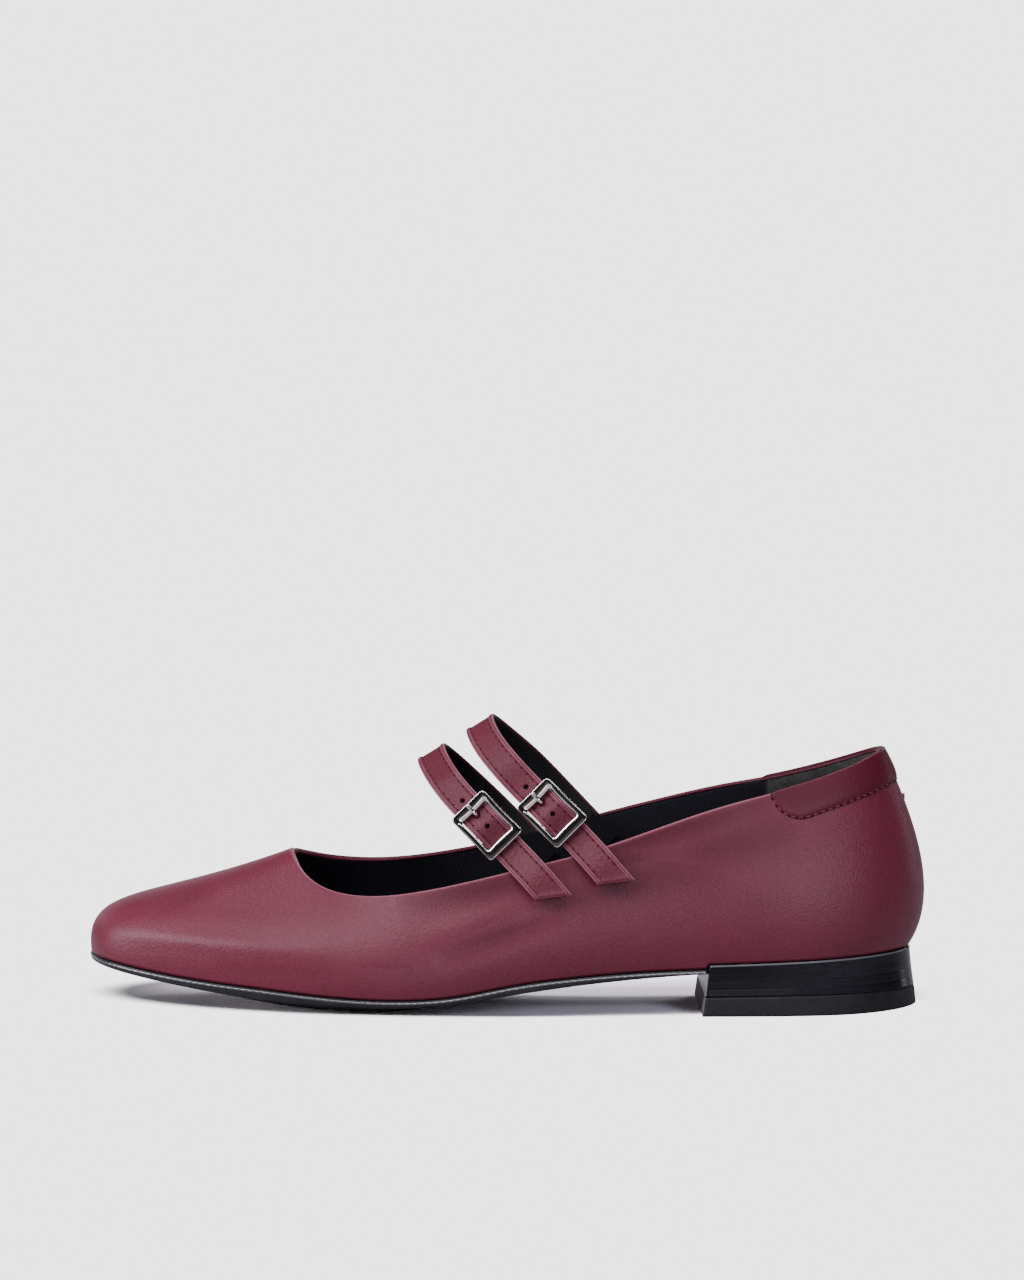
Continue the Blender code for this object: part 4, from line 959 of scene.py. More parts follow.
def smooth_leather(row):
    """Aniline leather: fine pebbles, cloudy colour, painted shade where the mesh is marked, with its coat
    taken away there, and a painted highlight along its edges.
    """
    made = Finish(row.name, Specular_IOR_Level=row.shine * SHINE_BELOW, Coat_Roughness=sum(row.rough) / 2)
    painted_shade_and_tape = made.shade("painted_shade_and_tape")
    cloud = made.ramp(made.noise(row.cloud, 3.0, 0.55), 0.2, 0.8)
    fine = made.ramp(made.noise(0.9, 2.0, 0.6), 0.34, 0.66)
    colour = made.mix(made.blend(0.55, fine, cloud), row.deep, row.bright)
    colour = made.mix(painted_shade_and_tape, colour, tuple(c * PAINTED_SHADE_TONE for c in row.deep))
    colour = made.mix(made.times(made.shade("edge"), EDGE_HIGHLIGHT_SHARE), colour, EDGE_HIGHLIGHT)
    pebbles = made.times(made.cells(row.pebble, 0.5), -1.0)
    grain = made.sums("MULTIPLY_ADD", made.noise(0.35, 2.0, 0.6), 0.45, pebbles)
    normal = made.bumped(grain, row.relief, made.bumped(made.noise(4.0), row.swell))
    haze = made.spread(made.noise(2.2, 2.0, 0.6), *row.rough)
    return made.use(
        Base_Color=colour,
        Roughness=made.sums("MULTIPLY_ADD", painted_shade_and_tape, PAINTED_SHADE_DULL, haze),
        Normal=normal,
        Coat_Weight=made.ramp(painted_shade_and_tape, 0.0, 1.0, row.shine * SHINE_COAT, 0.0),
        Coat_Normal=normal,
    )


def mottled(name, size, detail, tones, **sockets):
    """A material of two tones, in patches about size millimetres across."""
    made = Finish(name, **sockets)
    made.use(Base_Color=made.mix(made.noise(size, detail), *tones))
    return made


def make_threads():
    """Threads, the bartack, and the painted shade of the needle holes."""
    m = {}
    for row in THREADS:
        made = Finish(row.name, Roughness=0.7, Specular_IOR_Level=0.2)
        twist = made.node("ShaderNodeTexWave", {"Vector": made.spot, "Scale": 1.3, "Distortion": 1.0})
        colour = made.mix(twist, row.deep, row.bright)
        m[row.slot] = made.use(Base_Color=colour, Normal=made.bumped(twist, 0.03))
    made = mottled("Red brown bartack", 0.3, 2.0, BARTACK_TONES, Roughness=0.55)
    m["bartack"] = made.use(Normal=made.bumped(made.noise(0.3), 0.05))
    hole = mottled("Needle hole", 0.4, 2.0, HOLE_TONES, Roughness=0.9, Specular_IOR_Level=0.05)
    m["hole"] = hole.material
    return m


def make_linings():
    """Cloth, felt and the dull leather of the inside."""
    m = {}
    made = Finish("Black twill lining", Roughness=0.75, Specular_IOR_Level=0.14)
    u, v = made.flat_spot()
    rib = made.ribs(made.sums("ADD", u, v), TWILL_PITCH)
    yarn = made.ribs(made.sums("SUBTRACT", v, u), YARN_PITCH)
    weave = made.sums("MULTIPLY_ADD", yarn, 0.3, rib)
    tone = made.blend(0.4, made.noise(1.5, 3.0), made.ramp(weave, -1.1, 1.1))
    colour = made.mix(tone, *TWILL_TONES)
    m["lining"] = made.use(Base_Color=colour, Normal=made.bumped(weave, 0.045))

    made = Finish("Black strap backing", Roughness=0.8, Specular_IOR_Level=0.3)
    u, v = made.flat_spot()
    rib = made.ribs(made.sums("ADD", u, v), BACKING_PITCH)
    colour = made.mix(made.blend(0.6, made.noise(0.8, 3.0), made.ramp(rib, -1.0, 1.0)), *BACKING_TONES)
    m["backing"] = made.use(Base_Color=colour, Normal=made.bumped(rib, 0.04))

    made = Finish("Charcoal heel grip", Roughness=0.85, Specular_IOR_Level=0.25)
    nap = made.noise(0.5, 4.0, 0.7)
    tone = made.blend(0.6, nap, made.noise(5.0, 3.0, 0.6))
    felt = made.mix(made.ramp(tone, 0.35, 0.65), *FELT_TONES)
    colour = made.mix(made.shade("painted_shade_and_tape"), felt, GRIP_TAPE)
    m["grip"] = made.use(Base_Color=colour, Normal=made.bumped(nap, 0.06))

    root = mottled("Black strap root", 0.8, 3.0, ROOT_TONES, Roughness=0.9, Specular_IOR_Level=0.15)
    m["root"] = root.material
    made = mottled("Black sock leather", 6.0, 3.0, SOCK_TONES, Roughness=0.6)
    m["sock"] = made.use(Normal=made.bumped(made.cells(0.9, 0.6), 0.05))
    return m


def make_sole_finishes():
    """Sole leather, waxed bead, heel block and rubber."""
    m = {}
    made = Finish("Black sole leather", Specular_IOR_Level=0.26)
    fibre = made.noise(0.6, 3.0, 0.6)
    m["sole"] = made.use(
        Base_Color=made.mix(made.spread(made.noise(9.0, 3.0, 0.6)), *SOLE_TONES),
        Roughness=made.spread(fibre, 0.26, 0.40),
        Normal=made.bumped(fibre, 0.02),
    )

    made = Finish("Waxed sole bead", Coat_Weight=1.0, Coat_Roughness=0.12, Coat_IOR=1.9)
    wax = made.noise(1.0, 2.0, 0.6)
    m["bead"] = made.use(
        Base_Color=made.mix(wax, *BEAD_TONES),
        Roughness=made.spread(wax, 0.14, 0.28),
        Normal=made.bumped(wax, 0.05),
    )

    made = Finish("Polished black heel", Specular_IOR_Level=0.2)
    x, y, _ = made.separate(made.spot)
    along = made.stretched(0.08, 0.08)
    grain = made.noise(0.32, 4.0, 0.7, along)
    layers = made.noise(1.3, 2.0, 0.5, along)
    # Painted reflection: the block paler between HEEL_SHEEN_FRONT and HEEL_SHEEN_REAR.
    painted_highlight = made.times(made.ramp(x, *HEEL_SHEEN_FRONT), made.ramp(x, *HEEL_SHEEN_REAR))
    ebony = made.mix(painted_highlight, made.mix(made.spread(layers), *HEEL_TONES), HEEL_SHEEN)
    ebony = made.mix(made.ramp(grain, 0.54, 0.62), ebony, HEEL_GRAIN)
    # Painted light on the front face: paler tones, brightest towards the outer side as a painted reflection.
    hatch = made.ramp(made.noise(0.5, 2.0, 0.6, made.stretched(1.0, 0.12)), 0.4, 0.55)
    lit = made.times(made.ramp(y, *BREAST_BRIGHT_Y), hatch)
    ebony = made.mix(made.shade("breast"), ebony, made.mix(lit, *BREAST_TONES))
    # Painted highlight along the rim.
    m["heel"] = made.use(
        Base_Color=made.mix(made.shade("edge"), ebony, HEEL_EDGE_HIGHLIGHT),
        Roughness=made.spread(grain, 0.08, 0.18),
        Normal=made.bumped(grain, 0.016, made.bumped(layers, 0.015)),
    )

    made = Finish("Black heel rubber", Specular_IOR_Level=0.34)
    specks = made.noise(0.45, 3.0, 0.7)
    tone = made.blend(0.5, specks, made.noise(6.0, 3.0, 0.6))
    black = made.mix(made.ramp(tone, 0.35, 0.65), *RUBBER_TONES)
    # Painted light on the top piece's front face, which lies in shade.
    breast_painted_light = made.mix(made.ramp(specks, 0.58, 0.66), *BREAST_TONES)
    m["rubber"] = made.use(
        Base_Color=made.mix(made.shade("breast"), black, breast_painted_light),
        Roughness=made.spread(specks, 0.48, 0.7),
        Normal=made.bumped(specks, 0.05),
    )
    return m


def make_metal():
    """Polished nickel, faintly hazed and scuffed."""
    made = Finish("Polished nickel", Metallic=1.0)
    haze = made.noise(3.0, 3.0, 0.6)
    return made.use(
        Base_Color=made.mix(haze, *METAL_TONES),
        Roughness=made.spread(haze, 0.08, 0.11),
        Normal=made.bumped(made.noise(0.5, 3.0, 0.6), 0.0008),
    )


def make_materials():
    """Every material by its short name."""
    m = {row.slot: smooth_leather(row) for row in LEATHERS}
    return {**m, **make_threads(), **make_linings(), **make_sole_finishes(), "metal": make_metal()}


# Upper


def crease_relief(points, outer_side):
    """Height of the creases at each point, and the painted shade in their hollows and over the broad shaded
    regions.
    """
    relief = np.zeros(points.shape[:-1])
    painted_shade_and_tape = np.zeros(points.shape[:-1])
    flat = points[..., [0, 2]]
    steps = np.linspace(0.0, 1.0, CREASE_STEPS)[:, None]
    for crease in CREASES:
        start, middle, end = (np.array(p) for p in (crease.start, crease.middle, crease.end))
        line = (1 - steps) ** 2 * start + 2 * steps * (1 - steps) * middle + steps**2 * end
        box = np.abs(flat - (line.min(axis=0) + line.max(axis=0)) / 2)
        near = (box < np.ptp(line, axis=0) / 2 + CREASE_REACH * crease.width).all(axis=-1)
        near &= outer_side == (crease.side == "outer")
        runs = np.diff(line, axis=0)
        offset = flat[near][:, None] - line[:-1]
        share = np.clip((offset * runs).sum(axis=2) / (runs**2).sum(axis=1), 0.0, 1.0)
        gaps = np.linalg.norm(offset - share[..., None] * runs, axis=2)
        nearest = gaps.argmin(axis=1)
        rows = np.arange(len(gaps))
        reach = (nearest + share[rows, nearest]) / (CREASE_STEPS - 1)
        ends = np.sin(np.pi * np.clip(reach, 0.0, 1.0)) ** CREASE_TAPER
        shape = bell(gaps[rows, nearest], crease.width) * ends
        relief[near] += crease.height * shape
        if crease.height < 0.0:
            painted_shade_and_tape[near] = np.maximum(painted_shade_and_tape[near], crease.dark * shape)
    return relief, painted_shade_and_tape


def set_shade(obj, label, values):
    """Gives each vertex a value that its material reads under the label."""
    layer = obj.data.attributes.new(label, "FLOAT", "POINT")
    layer.data.foreach_set("value", np.asarray(values, np.float32).ravel())


def wall_places():
    """Places of the wall's columns, with one more at each end of the step on to the heel."""
    marks = [place for x in HEEL_STEP_X for place in both_sides(x)]
    return np.sort(np.concatenate([fine_places(UPPER_COLUMNS), marks]))


def make_upper(m):
    """Leather wall: its face with the creases, the folded topline and the leather's back."""
    places = wall_places()
    outer_side = (places < HEEL_PLACE)[:, None]
    shares = UPPER_SHARES
    points = rib_points(places, shares)
    relief, painted_shade_and_tape = crease_relief(points, np.broadcast_to(outer_side, points.shape[:2]))
    edge = np.clip(shares / FOOT_FADE, 0.0, 1.0) * np.clip((1.0 - shares) / TOP_FADE, 0.0, 1.0)
    outer = points + rib_normals(places, shares) * (relief * edge)[..., None]
    outer = settle_on_sole(outer, shares, places)
    top = outer[:, -1]
    normal = rib_normals(places, [1.0])[:, 0]
    up = unit(np.cross(np.roll(top, -1, axis=0) - np.roll(top, 1, axis=0), normal))
    up *= np.sign(up[:, 2:3])
    angles = np.radians(TOPLINE_ANGLES)
    turns = [up * (TOPLINE_RISE * math.sin(a)) - normal * WALL / 2 * (1.0 - math.cos(a)) for a in angles]
    fold_over = np.stack([top + turn for turn in turns], axis=1)
    folded = sheet(places, shares_below(places, FOLD_DEPTHS), WALL)
    down = shares_below(places, [FOLD_DEPTHS[-1] + UNDER_FOLD]) * INSIDE_SHARES
    behind = settle_on_sole(sheet(places, down, LEATHER_DEPTH), down, places)
    rings = np.concatenate([outer, fold_over, folded, behind], axis=1)
    upper = finish_object(grid("upper_leather", rings, around=True), m["leather"], ["upper"])
    # Painted shade in the creases, over the broad shaded regions and on the inner rim, and a painted
    # highlight along the outer rim.
    rim = slice(len(shares) - 1, len(shares) + len(angles))
    dark = np.zeros(rings.shape[:2])
    dark[:, : len(shares)] = painted_shade_and_tape * edge
    dark[:, rim] += np.where(outer_side, 0.0, FAR_RIM_DARK)
    set_shade(upper, "painted_shade_and_tape", dark)
    pale = np.zeros(rings.shape[:2])
    pale[:, rim] = outer_side
    set_shade(upper, "edge", pale)


def make_lining(m):
    """Black twill behind the leather, a little below the topline."""
    places = wall_places()
    front = shares_below(places, [LINING_TOP]) * LINING_SHARES
    back = front[:, ::-1]
    face = settle_on_sole(sheet(places, front, LINING_DEPTH), front, places)
    rear = settle_on_sole(sheet(places, back, LEATHER_DEPTH + SINK), back, places)
    crown = sheet(places, back[:, :1], (LINING_DEPTH + LEATHER_DEPTH) / 2)
    crown[:, :, 2] += LINING_CROWN
    rise = np.concatenate([LINING_SHARES, [1.0], LINING_SHARES[::-1], [0.0]]) * LINING_HEIGHT
    loops = np.concatenate([face, crown, rear], axis=1)
    mesh = grid("upper_lining", loops, around=True, u=np.append(places, PERIMETER), v=rise)
    finish_object(mesh, m["lining"], ["upper"])


# Collar patch


def patch_places():
    """Places of the patch's columns, closer together at its two front corners."""
    start, end = both_sides(PATCH_SEAM[0].top_x, "top_x")
    corner = np.linspace(0.0, PATCH_CORNER_RUN, PATCH_CORNER_COLUMNS, endpoint=False)
    middle = np.linspace(start + PATCH_CORNER_RUN, end - PATCH_CORNER_RUN, PATCH_COLUMNS)
    return np.concatenate([start + corner, middle, end - corner[::-1]])


def seam_depths(places):
    """Depth of the patch's sewn line below the topline."""
    return np.interp(rib_at(places).top_x, *np.array(PATCH_SEAM).T)


def make_patch(m):
    """Leather wrapped over the collar and sewn down, a little puffed between its edges."""
    places = patch_places()
    shares = np.linspace(1.0, 0.0, PATCH_ROWS)
    reach = (seam_depths(places) + PATCH_MARGIN)[:, None]
    heights = shares_below(places, reach * shares)
    along = np.minimum(places - places[0], places[-1] - places)[:, None]
    inset = np.minimum(reach * (1.0 - shares), along * PATCH_FRONT_LEAN + PATCH_LIP)
    thick = PATCH_EDGE + (PATCH_FACE - PATCH_EDGE) * (1.0 - np.exp(-((inset / PATCH_SWELL) ** PATCH_ROUND)))
    puff = PATCH_PUFF * np.sin(np.pi * shares) * smooth_step(along / PATCH_PUFF_RUN)
    face = sheet(places, heights, -(thick + puff))
    under = sheet(places, heights[:, ::-1], SINK)
    top_face = face[:, -1]
    in_face = sheet(places, [1.0], WALL + PATCH_INSIDE)[:, 0]
    centre = (top_face + in_face) / 2
    half = (top_face - in_face) / 2
    rise = PATCH_CREST * np.clip(thick[:, -1:] / PATCH_FACE, PATCH_CREST_END, 1.0) * UP
    angles = np.radians(TOPLINE_ANGLES)
    over = np.stack([centre + half * math.cos(a) + rise * math.sin(a) for a in angles], axis=1)
    inside = shares_below(places, PATCH_INNER_DEPTHS)
    inner = sheet(places, inside, WALL + PATCH_INSIDE)
    back = sheet(places, inside[:, ::-1], WALL - 2 * SINK)
    loops = np.concatenate([face, over, inner, back, under], axis=1)
    patch = finish_object(grid("collar_patch", loops), m["patch"], ["heel_collar_patch"])
    # Painted shade along the patch's sewn edge, and on its crest from just before the back seam round the
    # inner side.
    dark = np.zeros(loops.shape[:2])
    dark[:, : len(shares)] = PATCH_EDGE_DARK * bell(inset, PATCH_EDGE_SPREAD)
    crest = np.where(places < HEEL_PLACE - CREST_RUN, 0.0, FAR_RIM_DARK)[:, None]
    dark[:, len(shares) : len(shares) + len(angles)] = crest
    set_shade(patch, "painted_shade_and_tape", dark)


def make_grip(m):
    """Felt inside the heel, bound with black tape along its front edge."""
    depths = np.array(GRIP_DEPTHS)
    places = np.linspace(*both_sides(GRIP_FRONT_X, "top_x"), GRIP_COLUMNS)
    heights = shares_below(places, depths)
    count = np.arange(len(places))
    edge = np.minimum(count, count[::-1])[:, None]
    swell = np.clip(edge / GRIP_SIDE_COLUMNS, 0.15, 1.0) * np.clip(depths / GRIP_TOP_RUN, 0.25, 1.0)
    front = sheet(places, heights, WALL + GRIP_THICKNESS * swell)
    loops = np.concatenate([front, sheet(places, heights[:, ::-1], WALL - GRIP_SINK)], axis=1)
    grip = finish_object(grid("heel_grip", loops), m["grip"], ["heel_collar_patch"])
    # Here the same mark that carries painted shade on the leather gives the felt's front edge the black of
    # its binding tape.
    set_shade(grip, "painted_shade_and_tape", smooth_step((GRIP_NAP_X - loops[:, :, 0]) / GRIP_NAP_FADE))


def along_line(points, pitch, values=None):
    """Points spaced pitch apart along a polyline, or the values there where values are given."""
    run = run_along(points)
    marks = np.arange(0.0, run[-1], pitch)
    values = points if values is None else values
    return np.stack([np.interp(marks, run, values[:, i]) for i in range(3)], axis=1)


def stitch_row(knots, outward, radius, hole, sink=0.1):
    """Threads between needle holes, and at each end a small dome dark with painted shade in place of the
    hole.
    """
    threads, holes = [], []
    for start, end, out in zip(knots[:-1], knots[1:], outward[:-1]):
        way = end - start
        gap = way * STITCH_GAP
        base = -out * sink
        threads.append(capsule(start + gap + base, end - gap + base, radius, out * radius * STITCH_BOW))
        holes.append(pit(start, out, way / np.linalg.norm(way), hole))
    return threads, holes


def pit(centre, out, ahead, hole):
    """A needle hole: a low dome, dark with painted shade, that the threads dive into."""
    side = np.cross(ahead, out)
    angles = np.arange(8) * np.pi / 4
    loop = np.cos(angles)[:, None] * ahead * hole[0] + np.sin(angles)[:, None] * side * hole[1]
    return np.array([centre + loop * share + out * high for share, high in PIT_RINGS])


def add_stitches(name, threads, holes, surface, m):
    """A seam's threads as one piece and the painted shade of its needle holes as another."""
    finish_object(join_meshes(f"{name}_stitches", threads), surface)
    finish_object(join_meshes(f"{name}_needle_holes", holes), m["hole"])


def make_collar_stitches(m):
    """The seam round the collar patch."""
    places = patch_places()[1:-1]
    heights = shares_below(places, seam_depths(places)[:, None])
    line = sheet(places, heights, -SEAM_LIFT)[:, 0]
    outward = unit(along_line(line, COLLAR_PITCH, rib_normals(places, heights)[:, 0]))
    stitches = stitch_row(along_line(line, COLLAR_PITCH), outward, COLLAR_THREAD, COLLAR_PIT)
    add_stitches("collar", *stitches, m["thread"], m)


def make_back_seam(m):
    """A knot of thread at the top of the back seam."""
    place = HEEL_PLACE - BARTACK_SHIFT
    height = shares_below([place], [[BARTACK_DEPTH]])
    out = rib_normals([place], height)[0, 0]
    spot = sheet([place], height, 0.0)[0, 0] - out * BARTACK_SINK
    side = unit(np.cross(out, UP)) * BARTACK_HALF
    middles = [spot + UP * shift for shift in BARTACK_TURNS]
    parts = [capsule(middle - side, middle + side, BARTACK_THREAD, out * BARTACK_BOW) for middle in middles]
    finish_object(join_meshes("back_seam_bartack", parts), m["bartack"])


# Sole, heel and insole


def outline(places, offset):
    """The feather line in plan, moved outwards by the offset."""
    foot, outward = foot_line(places)
    return foot + outward * np.asarray(offset, float).reshape(-1, 1)


def fine_places(count):
    """Even places round the whole shoe."""
    return np.linspace(0.0, PERIMETER, count, endpoint=False)


def spine_for(places, front_inset, rear_inset):
    """Middle line of a sole in plan, with a point for each column."""
    toe, heel = RIBS[0], RIBS[HALF]
    start, end = toe.foot_x + front_inset, heel.foot_x - rear_inset
    level = np.clip(rib_at(places).foot_x, start, end)
    return np.column_stack([level, np.interp(level, [start, end], [toe.foot_y, heel.foot_y])])


def sole_projection(places):
    """How far the sole stands out from the wall, less at the toe."""
    run = (rib_at(places).foot_x - RIBS[0].foot_x) / SOLE_PROJECTION_RUN
    return TOE_PROJECTION + (SOLE_PROJECTION - TOE_PROJECTION) * smooth_step(run)


def sole_columns(clear=0.2, step=0.05):
    """Places and offsets of the outsole's edge, which steps in where the heel's rim begins.

    The even columns keep clear of the step, which has two columns of its own on each side.
    """
    places = fine_places(SOLE_COLUMNS)
    first, last = both_sides(HEEL_BREAST_X - HEEL_SOLE_GAP)
    front = places[places < first - clear]
    middle = places[(places > first + 2 * clear) & (places < last - 2 * clear)]
    back = places[places > last + clear]
    places = np.concatenate([front, [first, first + step], middle, [last - step, last], back])
    offsets = sole_projection(places)
    offsets[(places > first + step / 2) & (places < last - step / 2)] = HEEL_LIP - HEEL_RIM - GAP
    return places, offsets


def sole_underside(x, share):
    """Height of the underside, share of the way from the edge (0) to the middle (1)."""
    line = sole_line(x)
    height = line.edge + (line.keel - line.edge) * (1.0 - (1.0 - share) ** TREAD_ROUND)
    return np.maximum(height, 0.0)


def level_ring(flat, height):
    """Points in plan at their heights."""
    return np.column_stack([flat, height])


def round_over(radius, degrees):
    """How far back and down each step round an edge lies from its corner."""
    turns = np.radians(degrees)
    return list(zip(radius * (1.0 - np.cos(turns)), radius * (1.0 - np.sin(turns))))


def make_outsole(m):
    """Leather sole: a rounded edge, sprung at the toe, and rubbed flat under the ball."""
    places, offsets = sole_columns()
    spine = spine_for(places, *OUTSOLE_SPINE_INSETS)
    edge = outline(places, offsets)
    high = seat_height(edge[:, 0])
    low = sole_underside(edge[:, 0], 0.0)
    rings = []
    inner = outline(places, offsets - SOLE_TOP_ROUND)
    for share in SOLE_TOP_SHARES:
        flat = inner + (spine - inner) * share
        rings.append(level_ring(flat, seat_height(flat[:, 0])))
    for back, down in round_over(SOLE_TOP_ROUND, QUARTER_DOWN):
        rings.append(level_ring(outline(places, offsets - back), high - down))
    body_high, body_low = high - SOLE_TOP_ROUND, low + SOLE_EDGE_BEVEL
    for share in SOLE_SIDE_SHARES:
        belly = SOLE_EDGE_BELLY * math.sin(math.pi * share)
        rings.append(level_ring(outline(places, offsets - belly), body_high + (body_low - body_high) * share))
    for back, down in round_over(SOLE_EDGE_BEVEL, QUARTER_DOWN[::-1]):
        rings.append(level_ring(outline(places, offsets - back), low + down))
    under = outline(places, offsets - SOLE_EDGE_BEVEL)
    for share in TREAD_SHARES:
        flat = under + (spine - under) * share
        rings.append(level_ring(flat, sole_underside(flat[:, 0], share)))
    finish_object(seam_capped("outsole_leather", rings), m["sole"], ["outsole"])


def seam_capped(name, rings):
    """A solid of closed rings round the shoe, its first and last ring narrow and filled across."""
    loops = np.array(rings)
    count, points = loops.shape[:2]
    faces = grid_faces(count, points, capped=False)[0]
    faces += rung_faces(0, points) + rung_faces((count - 1) * points, points)
    return mesh_of(name, loops.reshape(-1, 3), faces)


def rung_faces(start, count):
    """Strips across a loop that is the same on both sides of the shoe."""
    faces = []
    for i in range((count - 1) // 2):
        other = count - 1 - i
        ring = (start + i, start + i + 1, start + other - 1, start + other)
        faces.append(tuple(dict.fromkeys(ring)))
    return faces


def make_sole_bead(m):
    """A waxed bead of stitching round the sole's top edge, from one side of the heel to the other."""
    first, last = both_sides(HEEL_BREAST_X - BEAD_STOP)
    places = np.arange(last, PERIMETER + first, BEAD_STEP)
    flat = outline(places, sole_projection(places) - BEAD_INSET)
    path = level_ring(flat, seat_height(flat[:, 0]) + BEAD_RISE)
    beat = 0.5 + 0.5 * np.cos(2 * np.pi * (places - last) / BEAD_PITCH)
    radius = BEAD_RADIUS * (1.0 - BEAD_NICK * (1.0 - beat) ** 2)
    finish_object(grid("sole_bead", swept_tube(path, radius, 10)), m["bead"])


def make_insole(m):
    """Footbed lying on the outsole inside the upper, its edge rolled and its middle cupped."""
    places = fine_places(INSOLE_COLUMNS)
    spine = spine_for(places, *INSOLE_SPINE_INSETS)
    inset = np.full(len(places), -WALL - INSOLE_CLEARANCE)
    edge = outline(places, inset)
    inward = spine - edge
    levels = []
    for share in INSOLE_SHARES:
        cup = INSOLE_CUP * math.sin(math.pi / 2 * share)
        levels.append((edge + inward * share, INSOLE_THICKNESS - cup))
    for back, down in round_over(INSOLE_ROUND, QUARTER_DOWN):
        levels.append((outline(places, inset - back), INSOLE_THICKNESS - down))
    levels += [(edge, 0.0), (edge + inward * INSOLE_SHARES[0], 0.0)]
    rings = [level_ring(flat, seat_height(flat[:, 0]) + INSOLE_BED + rise) for flat, rise in levels]
    finish_object(seam_capped("insole_sock", rings), m["sock"], ["insole"])


def heel_places():
    """Even places round the heel, from one end of its front face to the other."""
    return np.linspace(*both_sides(HEEL_BREAST_X), HEEL_COLUMNS)


def heel_loop(places, offset, heights, setback=0.0):
    """One level of the heel, larger towards the floor. Its first and last points lie on its front."""
    ring = outline(places, np.full(len(places), offset))
    side = HEEL_RIM + GAP / 2
    front = ring[[0, -1]].copy()
    front[:, 1] -= np.sign(front[:, 1]) * (side - (HEEL_LIP - offset))
    ring = np.concatenate([front[:1], ring, front[1:]])
    ring[[0, 1, -2, -1], 0] = HEEL_BREAST_X
    ring[[0, -1], 0] += setback
    grow = 1.0 - heights / HEEL_TOP_Z
    x = HEEL_CENTRE_X + (ring[:, 0] - HEEL_CENTRE_X) * (1.0 + HEEL_FLARE_X * grow)
    y = ring[:, 1] * (1.0 + HEEL_FLARE_Y * grow)
    return np.column_stack([x, y, heights])


def finish_heel(name, loops, surface, replaces, highlight_levels=range(0)):
    """A closed piece of the heel, marked on its front face, which gets painted light, and on the levels of
    its rim that carry a painted highlight.
    """
    piece = finish_object(seam_capped(name, loops), surface, replaces)
    level, column = np.divmod(np.arange(len(piece.data.vertices)), len(loops[0]))
    set_shade(piece, "edge", np.isin(level, highlight_levels))
    set_shade(piece, "breast", (column == 0) | (column == len(loops[0]) - 1))


def lift_line(x):
    """Height of the joint between the heel block and its top piece."""
    return LIFT_LINE_FRONT + LIFT_LINE_SLOPE * (x - HEEL_BREAST_X)


def make_heel_block(m):
    """Stacked block: faint grooves between its layers and a rolled rim under the upper."""
    places = heel_places()
    full = np.full(len(places) + 2, HEEL_TOP_Z)
    x = heel_loop(places, HEEL_LIP, full)[:, 0]
    seat = sole_line(x).edge - SEAT_CLEARANCE
    rim = feather_height(x) - RIM_DROP
    rim[[0, -1]] = seat[[0, -1]]
    bottom = lift_line(x) + JOINT_GAP
    foot, head = bottom + BLOCK_FOOT_ROUND, rim - RIM_ROLL
    loops = [heel_loop(places, HEEL_LIP - BLOCK_FOOT_ROUND, bottom)]
    for share in np.linspace(0.0, 1.0, BLOCK_LEVELS):
        groove = sum(math.exp(-(((share - mark) / LAYER_GROOVE_WIDTH) ** 2)) for mark in LAYER_GROOVES)
        inset = LAYER_GROOVE_DEPTH * groove + HEEL_WAIST * math.sin(math.pi * share)
        loops.append(heel_loop(places, HEEL_LIP - inset, foot + (head - foot) * share))
    below = len(loops)
    for angle in np.radians(RIM_TURNS):
        reach = RIM_ROLL_OUT * (math.cos(angle) - RIM_ROLL_START)
        loops.append(heel_loop(places, HEEL_LIP + reach, rim - RIM_ROLL / 2 * (1.0 - math.sin(angle))))
    for level, (inset, setback) in zip((rim, seat), SEAT_STEPS):
        loops.append(heel_loop(places, HEEL_LIP - inset, level, setback))
    # A painted highlight runs along these levels of the rolled rim.
    painted_highlight = range(below + 1, below + 4)
    finish_heel("heel_stack", loops, m["heel"], ["heel_block"], painted_highlight)


def make_heel_lift(m):
    """Rubber top piece with a rolled lower edge, curved up at the rear."""
    places = heel_places()
    x = heel_loop(places, HEEL_LIP, np.zeros(len(places) + 2))[:, 0]
    top = lift_line(x) - JOINT_GAP
    rise = (x - LIFT_FLAT_END_X) / (LIFT_BACK_X - LIFT_FLAT_END_X)
    floor = LIFT_REAR_RISE * np.clip(rise, 0.0, None) ** 2
    loops = []
    for back, down in round_over(LIFT_ROUND, LIFT_TURNS):
        loops.append(heel_loop(places, HEEL_LIP - back, floor + down))
    foot = floor + LIFT_ROUND
    for share in LIFT_SHARES:
        loops.append(heel_loop(places, HEEL_LIP, foot + (top - foot) * share))
    for inset, drop in LIFT_TOP_STEPS:
        loops.append(heel_loop(places, HEEL_LIP - inset, top - drop))
    finish_heel("heel_top_piece", loops, m["rubber"], ["heel_lift"])


# Straps and buckles

LEAN = np.array([math.cos(math.radians(STRAP_LEAN)), 0.0, math.sin(math.radians(STRAP_LEAN))])
Frame = namedtuple("Frame", "centre along across outward")


